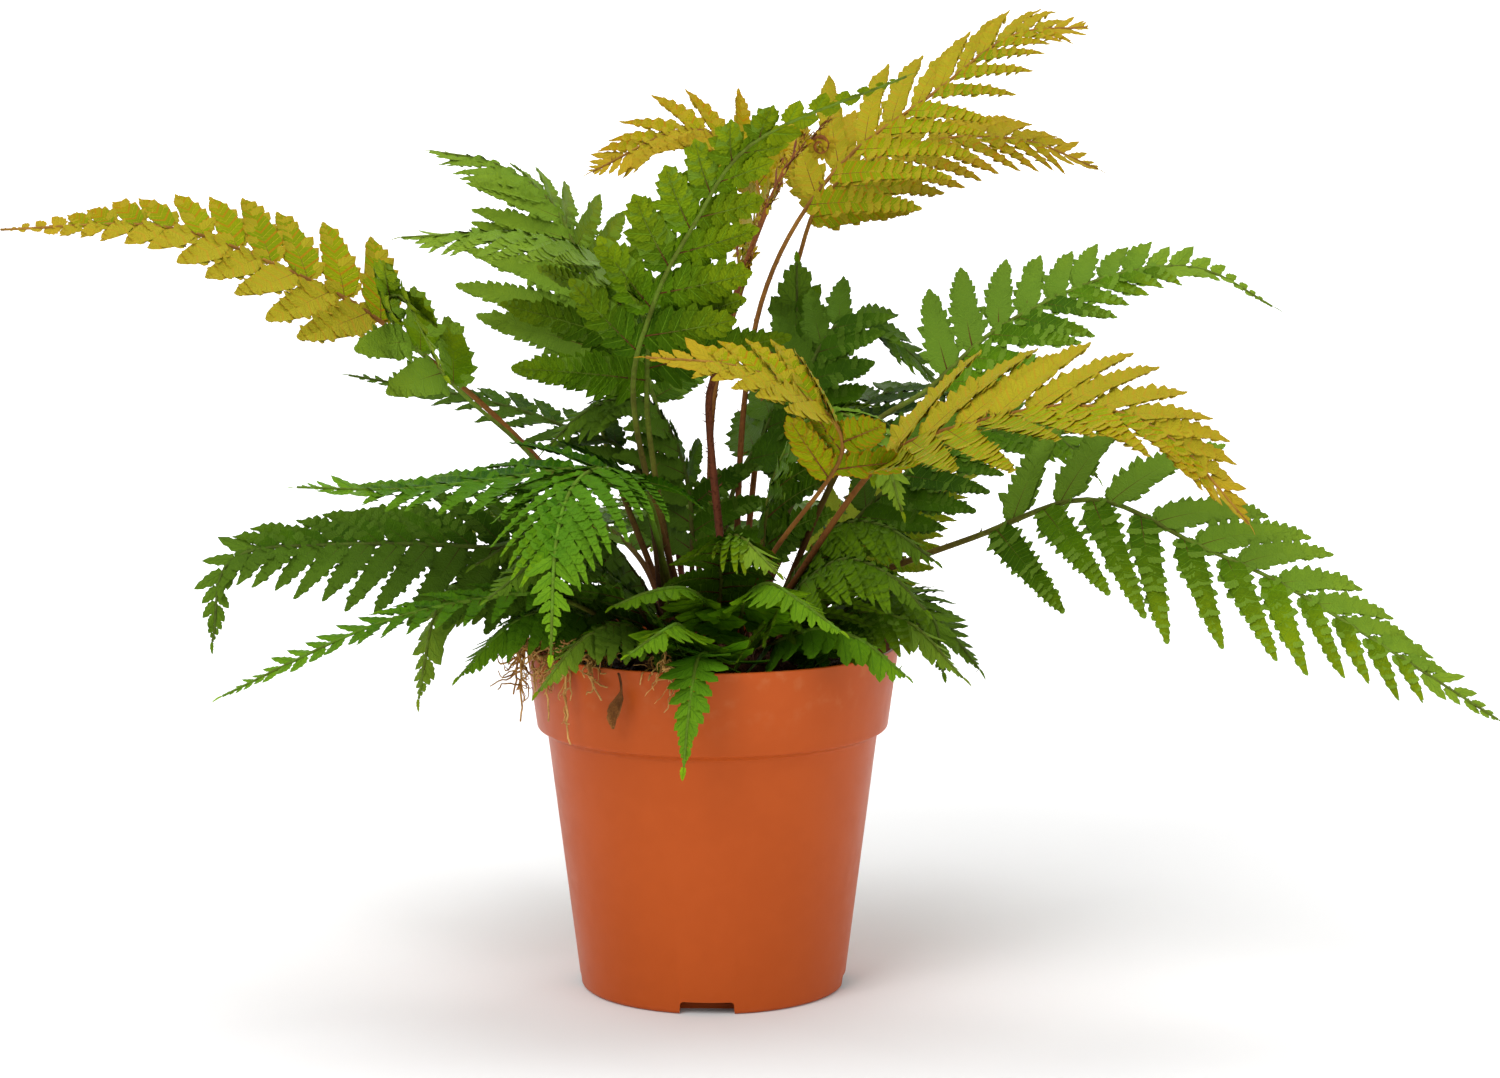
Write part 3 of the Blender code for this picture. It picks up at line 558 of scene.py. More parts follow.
@dataclass(frozen=True)
class PlasticFinish:
    """Moulded plastic with a satin skin, faint flow marks and a dusty rim."""

    name: str
    body: Colour
    patch: Colour
    dust: Colour
    flow_scale: float = 22.0
    fleck_scale: float = 160.0
    flow_amount: float = 0.35
    dust_scale: float = 170.0
    dust_amount: float = 0.22
    grain_scale: float = 2600.0
    wave_scale: float = 55.0
    relief: float = 0.0005
    roughness: float = 0.34
    shine: float = 0.12

    def build(self, effects: Effects, dusty_from: float, dusty_to: float) -> Material:
        """Make the plastic.

        Args:
            effects: The shared node groups.
            dusty_from: Height where the dust begins.
            dusty_to: Height where it is thickest.

        Returns:
            The material.
        """
        material, wires, shader = new_material(self.name)
        place = wires.object_place()
        mottled = wires.group(effects.mottle, Colour=(*self.body, 1.0), Patch_Colour=(*self.patch, 1.0),
                              Patch_Scale=self.flow_scale, Fine_Scale=self.fleck_scale,
                              Amount=self.flow_amount)
        height = wires.node("ShaderNodeSeparateXYZ", Vector=place).outputs["Z"]
        flecks = wires.remap(wires.noise(place, self.dust_scale, 5.0), 0.5, 0.72)
        dust = wires.times(wires.remap(height, dusty_from, dusty_to), flecks)
        dust = wires.times(dust, self.dust_amount)
        wires.feed(shader, "Base Color", wires.blend(dust, mottled.outputs["Colour"], self.dust))
        grain = wires.group(effects.grain, Scale=self.grain_scale, Detail=2.0).outputs["Height"]
        wave = wires.group(effects.grain, Scale=self.wave_scale, Detail=1.0).outputs["Height"]
        relief = wires.plus(wires.times(grain, 0.10), wires.times(wave, 0.9))
        wires.bump(shader, relief, 0.35, self.relief)
        rough = wires.plus(wires.times(mottled.outputs["Mask"], 0.25), self.roughness)
        wires.feed(shader, "Roughness", wires.plus(rough, wires.times(dust, 0.8)))
        wires.feed(shader, "Specular IOR Level", self.shine)
        return material


class Leaf(Enum):
    """The kinds of leaf on the plant, by material slot."""

    MATURE = "mature_leaf"
    SHADED = "shaded_leaf"
    FRESH = "fresh_leaf"
    LIME = "lime_leaf"
    COPPER = "copper_leaf"


def bark(name: str, low: Level, high: Level, patch: Level, **settings: float) -> BarkFinish:
    """A dull finish from display colours.

    Args:
        name: The material's name.
        low: The colour at the foot.
        high: The colour at the tip.
        patch: The colour of its patches.
        **settings: The finish's other values, by name.

    Returns:
        The finish.
    """
    return BarkFinish(name, srgb(*low), srgb(*high), srgb(*patch), **settings)


# For each kind: its margin's strength, then its blade, deep, young, margin, vein and under colours
LEAF_FINISHES = {
    leaf: LeafFinish(leaf.value, *(srgb(*colour) for colour in colours), margin_share=share)
    for leaf, share, *colours in (
        (Leaf.MATURE, 0.10, (82, 120, 7), (38, 70, 4), (126, 144, 12),
         (114, 130, 16), (104, 142, 30), (110, 142, 44)),
        (Leaf.SHADED, 0.05, (60, 94, 5), (26, 50, 3), (94, 126, 12),
         (66, 90, 12), (70, 102, 22), (78, 106, 28)),
        (Leaf.FRESH, 0.12, (86, 136, 9), (34, 76, 4), (132, 170, 20),
         (146, 170, 30), (38, 76, 10), (80, 124, 24)),
        (Leaf.LIME, 0.35, (138, 158, 12), (86, 120, 8), (162, 160, 16),
         (170, 138, 20), (158, 170, 46), (154, 160, 50)),
        (Leaf.COPPER, 0.75, (146, 152, 6), (100, 122, 5), (170, 130, 10),
         (168, 92, 16), (176, 150, 34), (168, 146, 36)),
    )
}
STALK_FINISHES = {
    Leaf.MATURE: bark("green_stalk", (92, 54, 24), (100, 124, 36), (60, 36, 18), ends_at=0.5),
    Leaf.SHADED: bark("dark_stalk", (72, 42, 22), (76, 96, 28), (44, 28, 14), ends_at=0.5),
    Leaf.FRESH: bark("fresh_stalk", (96, 76, 28), (92, 132, 30), (70, 50, 20), ends_at=0.35),
    Leaf.LIME: bark("lime_stalk", (124, 76, 44), (160, 150, 70), (90, 56, 30), ends_at=0.7),
    Leaf.COPPER: bark("copper_stalk", (120, 70, 34), (158, 116, 44), (90, 50, 24), ends_at=0.9),
}
SOIL_FINISH = bark("potting_mix", (50, 36, 26), (66, 48, 34), (26, 18, 13), patch_scale=160.0,
                   patch_amount=0.7, grain_scale=900.0, roughness=0.92, relief=0.0012)
ROOTSTOCK_FINISH = bark("scaly_rootstock", (92, 58, 36), (120, 78, 46), (50, 32, 20), patch_scale=200.0,
                        patch_amount=0.6, grain_scale=1500.0, roughness=0.85, relief=0.0008)
CROZIER_FINISH = bark("crozier_stalk", (108, 56, 36), (150, 92, 40), (76, 40, 26), patch_scale=260.0,
                      grain_scale=1800.0, roughness=0.75)
ROOT_FINISH = bark("dry_root", (182, 132, 66), (208, 164, 96), (126, 80, 34), patch_scale=220.0,
                   patch_amount=0.6)
DRY_LEAF_FINISH = bark("dry_leaf", (98, 58, 28), (150, 98, 48), (56, 32, 14), patch_scale=300.0,
                       patch_amount=0.6)
PLASTIC_FINISH = PlasticFinish("terracotta_plastic", srgb(180, 80, 28), srgb(169, 72, 22),
                               srgb(196, 132, 84))


# ---- repeated shapes


class NodeTool:
    """A Geometry Nodes tree with named inputs that this script builds."""

    def __init__(self, name: str, inputs: dict[str, tuple[str, object]]) -> None:
        """Start the tree.

        Args:
            name: The tree's name.
            inputs: Socket type and first value by input name, after the geometry.
        """
        self.tree = bpy.data.node_groups.new(name, "GeometryNodeTree")
        interface = self.tree.interface
        interface.new_socket("Geometry", in_out="INPUT", socket_type="NodeSocketGeometry")
        self.sockets: dict[str, str] = {}
        for label, (kind, value) in inputs.items():
            socket = interface.new_socket(label, in_out="INPUT", socket_type=kind)
            if value is not None:
                socket.default_value = value
            self.sockets[label] = socket.identifier
        interface.new_socket("Geometry", in_out="OUTPUT", socket_type="NodeSocketGeometry")
        self.wires = Wires(self.tree)
        self.enter = self.wires.node("NodeGroupInput").outputs
        self.leave = self.wires.node("NodeGroupOutput")

    def named(self, name: str, kind: str = "FLOAT") -> Socket:
        """A named attribute of the points."""
        return self.wires.node("GeometryNodeInputNamedAttribute", {"data_type": kind},
                               Name=name).outputs["Attribute"]

    def random_float(self, low: object, high: object, extra: int) -> Socket:
        """A random number for each point, from the tree's own seed plus an extra."""
        made = self.wires.node("FunctionNodeRandomValue", {"data_type": "FLOAT"})
        floats = [socket for socket in made.inputs if socket.type == "VALUE"]
        for socket, value in zip(floats, (low, high)):
            self.wires.join(socket, value)
        self.wires.feed(made, "Seed", self.wires.plus(self.enter["Seed"], float(extra)))
        return next(socket for socket in made.outputs if socket.type == "VALUE" and socket.enabled)

    def turned(self, rotation: Socket, angles: Socket) -> Socket:
        """A rotation turned further about its own axes."""
        local = self.wires.node("FunctionNodeEulerToRotation", Euler=angles)
        return self.wires.node("FunctionNodeRotateRotation", {"rotation_space": "LOCAL"},
                               Rotation=rotation, Rotate_By=local.outputs[0]).outputs[0]

    def joined(self, *parts: Socket) -> Socket:
        """Several geometries as one."""
        made = self.wires.node("GeometryNodeJoinGeometry")
        for part in parts:
            self.tree.links.new(part, made.inputs[0])
        return made.outputs[0]

    def end(self, geometry: Socket) -> None:
        """Realize the instances, set the material and leave the tree."""
        real = self.wires.node("GeometryNodeRealizeInstances", Geometry=geometry)
        dressed = self.wires.node("GeometryNodeSetMaterial", Geometry=real.outputs[0],
                                  Material=self.enter["Material"])
        self.wires.feed(self.leave, "Geometry", dressed.outputs[0])

    def apply(self, obj: Piece, **values: object) -> Piece:
        """Run the tree on an object and keep the result as its plain mesh.

        Args:
            obj: The object that gives the tree its geometry.
            **values: Input values by name, with _ for a space.

        Returns:
            The same object.
        """
        modifier = obj.modifiers.new(self.tree.name, "NODES")
        modifier.node_group = self.tree
        for name, value in values.items():
            modifier[self.sockets[name.replace("_", " ")]] = value
        obj.update_tag()
        bpy.context.view_layer.update()
        return plain_mesh(obj)


def leaflet_tool() -> NodeTool:
    """A tree that sets one leaflet on each guide point and adds the sheets between them."""
    tool = NodeTool("grow_leaflets", {
        "Leaflet": ("NodeSocketObject", None), "Sheets": ("NodeSocketObject", None),
        "Turn Jitter": ("NodeSocketFloat", 0.12), "Size Jitter": ("NodeSocketFloat", 0.12),
        "Material": ("NodeSocketMaterial", None), "Seed": ("NodeSocketInt", 0)})
    wires = tool.wires
    turn = wires.node("FunctionNodeEulerToRotation", Euler=tool.named("turn", "FLOAT_VECTOR"))
    least = wires.times(tool.enter["Turn Jitter"], -1.0)
    wobble = wires.node("ShaderNodeCombineXYZ")
    for number, axis in enumerate("XYZ"):
        wires.feed(wobble, axis, tool.random_float(least, tool.enter["Turn Jitter"], number))
    turned = tool.turned(turn.outputs[0], wobble.outputs[0])
    small = wires.math("SUBTRACT", 1.0, tool.enter["Size Jitter"])
    large = wires.plus(1.0, tool.enter["Size Jitter"])
    size = wires.node("ShaderNodeVectorMath", {"operation": "SCALE"},
                      Vector=tool.named("size", "FLOAT_VECTOR"),
                      Scale=tool.random_float(small, large, 7))
    leaflet = wires.node("GeometryNodeObjectInfo", Object=tool.enter["Leaflet"], As_Instance=True)
    grown = wires.node("GeometryNodeInstanceOnPoints", Points=tool.enter["Geometry"],
                       Instance=leaflet.outputs["Geometry"], Rotation=turned, Scale=size.outputs[0])
    sheets = wires.node("GeometryNodeObjectInfo", Object=tool.enter["Sheets"])
    tool.end(tool.joined(grown.outputs[0], sheets.outputs["Geometry"]))
    return tool


def cover_tool() -> NodeTool:
    """A tree that strews small shapes over a surface: scales on bark or crumbs on soil."""
    tool = NodeTool("strew_over", {
        "Piece": ("NodeSocketObject", None), "Density": ("NodeSocketFloat", 1.0),
        "Least Size": ("NodeSocketFloat", 0.001), "Most Size": ("NodeSocketFloat", 0.002),
        "Lean": ("NodeSocketFloat", 1.0), "Twist": ("NodeSocketFloat", math.pi),
        "Material": ("NodeSocketMaterial", None), "Seed": ("NodeSocketInt", 0)})
    wires = tool.wires
    density = wires.times(tool.named("cover"), tool.enter["Density"])
    strewn = wires.node("GeometryNodeDistributePointsOnFaces", {"distribute_method": "RANDOM"},
                        Mesh=tool.enter["Geometry"], Density=density, Seed=tool.enter["Seed"])
    least = wires.times(tool.enter["Twist"], -1.0)
    turn = wires.node("ShaderNodeCombineXYZ", X=tool.enter["Lean"],
                      Z=tool.random_float(least, tool.enter["Twist"], 3))
    turned = tool.turned(strewn.outputs["Rotation"], turn.outputs[0])
    piece = wires.node("GeometryNodeObjectInfo", Object=tool.enter["Piece"], As_Instance=True)
    size = tool.random_float(tool.enter["Least Size"], tool.enter["Most Size"], 5)
    placed = wires.node("GeometryNodeInstanceOnPoints", Points=strewn.outputs["Points"],
                        Instance=piece.outputs["Geometry"], Rotation=turned, Scale=size)
    tool.end(tool.joined(placed.outputs[0], tool.enter["Geometry"]))
    return tool


@dataclass
class LeafletShape:
    """One toothed leaflet, a unit long on +Y and a unit wide, cupped and bent down at its tip."""

    rows: int = 8
    columns: int = 4
    tooth: float = 0.2
    cup: float = 0.05
    droop: float = 0.14
    slant: float = 0.05
    foot_half: float = 0.44
    belly: float = 0.10
    round_from: float = 0.45

    def half_width(self, along: float) -> float:
        """Half the leaflet's width at a share of its length."""
        past = max(0.0, (along - self.round_from) / (1 - self.round_from))
        rounded_tip = max(0.0, 1 - past ** 1.8) ** 0.7
        return (self.foot_half + self.belly * math.sin(math.pi * min(1.0, along * 1.6))) * rounded_tip

    def build(self) -> Piece:
        """Make the leaflet as a template that is deleted once the fronds are grown."""
        draft = MeshDraft("leaflet")
        rows = []
        for row in range(self.rows + 1):
            along = row / self.rows
            half = self.half_width(along)
            notch = self.tooth * (row % 2) * (0.5 if row in (0, self.rows) else 1.0)
            points = []
            for column in range(self.columns + 1):
                across = 2 * column / self.columns - 1
                edge = 1.0 - notch * abs(across) ** 3
                bend = self.cup * (across ** 2) * half * 2 - self.droop * along ** 2
                points.append(draft.point(Vector((across * half * edge,
                                                  along + self.slant * abs(across), bend))))
            rows.append(points)
        draft.sheet_faces(rows)
        return draft.build()


def scale_template() -> Piece:
    """A narrow papery scale, a unit long on +Y."""
    draft = MeshDraft("scale")
    rows = [[draft.point(Vector((side * half, along, lift))) for side in (-1, 1)]
            for along, half, lift in ((0.0, 0.07, 0.0), (0.4, 0.10, 0.10), (0.75, 0.05, 0.13))]
    draft.sheet_faces(rows)
    tip = draft.point(Vector((0.0, 1.0, 0.05)))
    draft.face((rows[-1][0], rows[-1][1], tip))
    return draft.build()


def crumb_template(source: random.Random) -> Piece:
    """A rough crumb, about a unit across."""
    shape = bmesh.new()
    bmesh.ops.create_icosphere(shape, subdivisions=1, radius=0.5)
    for vert in shape.verts:
        vert.co *= source.uniform(0.6, 1.15)
        vert.co.z *= 0.7
    mesh = bpy.data.meshes.new("crumb")
    shape.to_mesh(mesh)
    shape.free()
    obj = bpy.data.objects.new("crumb", mesh)
    bpy.context.scene.collection.objects.link(obj)
    return obj


# ---- the frame's own sizes


@dataclass(frozen=True)
class Ground:
    """Heights that everything on the plant is measured from, in metres."""

    rim: float
    rim_radius: float
    soil: float
    crown_top: float

    # A stalk's radius at its foot, and how many of them a level one would start above the crown
    STALK = 0.0013
    LIFT = 1.3

    @classmethod
    def from_frame(cls, headspace: float = 0.0113) -> "Ground":
        """Read the pot's rim and the rootstock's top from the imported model."""
        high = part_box("nursery_pot")[1]
        return cls(high.z, high.x, high.z - headspace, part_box("rootstock")[1].z)

    def place(self, spot: Corner) -> Vector:
        """A point given in millimetres from the axis and above the soil."""
        return Vector((spot[0] * MM, spot[1] * MM, self.soil + spot[2] * MM))

    def rim_place(self, bearing: float, beyond: float, above: float) -> Vector:
        """A point on a bearing, in millimetres beyond the rim's edge and above its lip."""
        return on_circle(self.rim_radius + beyond * MM, bearing, self.rim + above * MM)

    def route(self, foot: Flat, spots: tuple[Corner, ...]) -> list[Vector]:
        """A stalk's line from the rootstock's top through its spots.

        A stalk that leans starts a little higher, so that its round foot stays clear.

        Args:
            foot: The foot's distance from the axis in millimetres, and its bearing.
            spots: The points that the stalk passes, as place() takes them.

        Returns:
            The points of the line.
        """
        base = on_circle(foot[0] * MM, foot[1], self.crown_top + GAP)
        points = [self.place(spot) for spot in spots]
        start = (points[0] - base).normalized()
        return through([base + Vector((0, 0, self.STALK * start.xy.length * self.LIFT)), *points])


class Spine:
    """A line with a frame at each place: where it is, where it runs, its side and its normal."""

    # Steps along the line, and the least lean from upright at which its side follows its course
    STEPS = 60
    LEVEL = 0.05

    def __init__(self, line: list[Vector]) -> None:
        """Take a line and space it evenly."""
        self.points = spaced(line, self.STEPS)
        self.length = sum((b - a).length for a, b in zip(self.points, self.points[1:]))

    def at(self, share: float) -> tuple[Vector, Vector, Vector, Vector]:
        """The point, tangent, right side and normal at a share of the length."""
        along = min(max(share, 0.0), 1.0) * (len(self.points) - 1)
        index = min(int(along), len(self.points) - 2)
        point = self.points[index].lerp(self.points[index + 1], along - index)
        before = self.points[max(index - 1, 0)]
        after = self.points[min(index + 2, len(self.points) - 1)]
        tangent = (after - before).normalized()
        side = tangent.cross(Vector((0, 0, 1)))
        side = side.normalized() if side.length > self.LEVEL else Vector((1, 0, 0))
        return point, tangent, side, side.cross(tangent)


# ---- growing and strewing


@dataclass(frozen=True)
class Covering:
    """How small shapes lie on a surface: how many to the square metre, their sizes and set."""

    density: float
    least: float
    most: float
    lean: float
    twist: float = math.pi


STALK_SCALES = Covering(340000.0, 0.0010, 0.0026, 0.5, 0.7)
CROZIER_SCALES = Covering(330000.0, 0.0010, 0.0024, 0.7, 0.9)
STUB_SCALES = Covering(300000.0, 0.0012, 0.0030, 0.6, 0.8)
CROWN_SCALES = Covering(260000.0, 0.0020, 0.0055, 0.9)
SOIL_CRUMBS = Covering(150000.0, 0.0008, 0.0034, 0.4)


@dataclass
class Tools:
    """Templates, trees and materials that the plant's pieces share."""

    leaflets: NodeTool
    cover: NodeTool
    leaflet: Piece
    scale: Piece
    crumb: Piece
    leaves: dict[Leaf, Material]
    stalks: dict[Leaf, Material]
    effects: Effects

    CRUMB_SEED = 5

    @classmethod
    def make(cls) -> "Tools":
        """Build every shared tool once."""
        effects = Effects()
        return cls(leaflet_tool(), cover_tool(), LeafletShape().build(), scale_template(),
                   crumb_template(random.Random(cls.CRUMB_SEED)),
                   {leaf: finish.build(effects) for leaf, finish in LEAF_FINISHES.items()},
                   {leaf: finish.build(effects) for leaf, finish in STALK_FINISHES.items()},
                   effects)

    def strew(self, draft: MeshDraft, piece: Piece, covering: Covering, material: Material,
              seed: int) -> Piece:
        """Build a draft and strew small shapes over it.

        Args:
            draft: The surface, whose points carry a cover value.
            piece: The template that is strewn.
            covering: How it lies.
            material: The finish of all of it.
            seed: What the places and sizes are drawn from.

        Returns:
            The finished object.
        """
        return self.cover.apply(draft.build(), Piece=piece, Density=covering.density,
                                Least_Size=covering.least, Most_Size=covering.most,
                                Lean=covering.lean, Twist=covering.twist,
                                Material=material, Seed=seed)

    def clear(self) -> None:
        """Delete the templates once nothing needs them."""
        for template in (self.leaflet, self.scale, self.crumb):
            bpy.data.objects.remove(template)


class LeafletGuide:
    """Points that each grow one leaflet, with the turn and the size that it takes there."""

    def __init__(self, name: str) -> None:
        """Start with no points."""
        self.draft = MeshDraft(name, ("tone", "age"))
        self.turns: list[Corner] = []
        self.sizes: list[Corner] = []

    def add(self, root: Vector, out: Vector, normal: Vector, size: Corner, tone: float,
            age: float) -> None:
        """Add a leaflet.

        Args:
            root: Where it starts.
            out: Where it points.
            normal: Roughly where its upper side faces.
            size: Its width, its length and its bend.
            tone: How pale it is.
            age: How far it has turned.
        """
        normal = (normal - out * normal.dot(out)).normalized()
        turn = Matrix((out.cross(normal), out, normal)).transposed().to_euler()
        self.draft.point(root, tone=tone, age=age)
        self.turns.append(tuple(turn))
        self.sizes.append(size)

    def grow(self, tools: Tools, material: Material, seed: int, **values: object) -> Piece:
        """Put the leaflets on the points.

        Args:
            tools: The shared templates and trees.
            material: The leaflets' finish.
            seed: What their variation is drawn from.
            **values: Other inputs of the growing tree.

        Returns:
            The finished object.
        """
        blade = self.draft.build()
        for name, numbers in (("turn", self.turns), ("size", self.sizes)):
            attribute = blade.data.attributes.new(name, "FLOAT_VECTOR", "POINT")
            attribute.data.foreach_set("vector", [value for point in numbers for value in point])
        return tools.leaflets.apply(blade, Leaflet=tools.leaflet, Material=material, Seed=seed,
                                    **values)


# ---- fronds


@dataclass(frozen=True)
class Frond:
    """One frond: its stalk's foot and route, and the size and set of its side leaves.

    Lengths are in millimetres and angles in degrees.

    foot is the distance from the axis and the bearing, route the spots that the stalk passes.
    blade is the share of the length where the side leaves begin, pairs sets how many there
    are, and length and width are those of the longest. roll turns the blade about its stalk,
    sag bends the side leaves down, fold lifts them into a V, sweep is their angle to the
    stalk and lean how much of it is lost towards the tip. taper says how fast they shorten,
    full how much of the room between them they fill. thick scales the stalk, scales how
    scaly it is. pitch is the room for one leaflet, web the share of a side leaf's width that
    isn't divided, and side leaves shorter than simple times a fixed length stay whole. light
    makes the leaves paler, and darker below one: painted light and shade, set for each frond
    by how much light falls on it. ripe_and_painted_light turns them towards the young colour,
    partly for the frond's own youth and partly as painted light that brightens fronds in shade.
    """

    name: str
    leaf: Leaf
    foot: Flat
    route: tuple[Corner, ...]
    blade: float
    pairs: int
    length: float
    width: float
    roll: float = 0.0
    sag: float = 0.10
    fold: float = 0.0
    sweep: float = 60.0
    thick: float = 1.0
    pitch: float = 3.6
    web: float = 0.72
    scales: float = 0.35
    taper: float = 0.8
    simple: float = 1.0
    full: float = 0.85
    light: float = 1.0
    ripe_and_painted_light: float = 0.0
    lean: float = 0.45
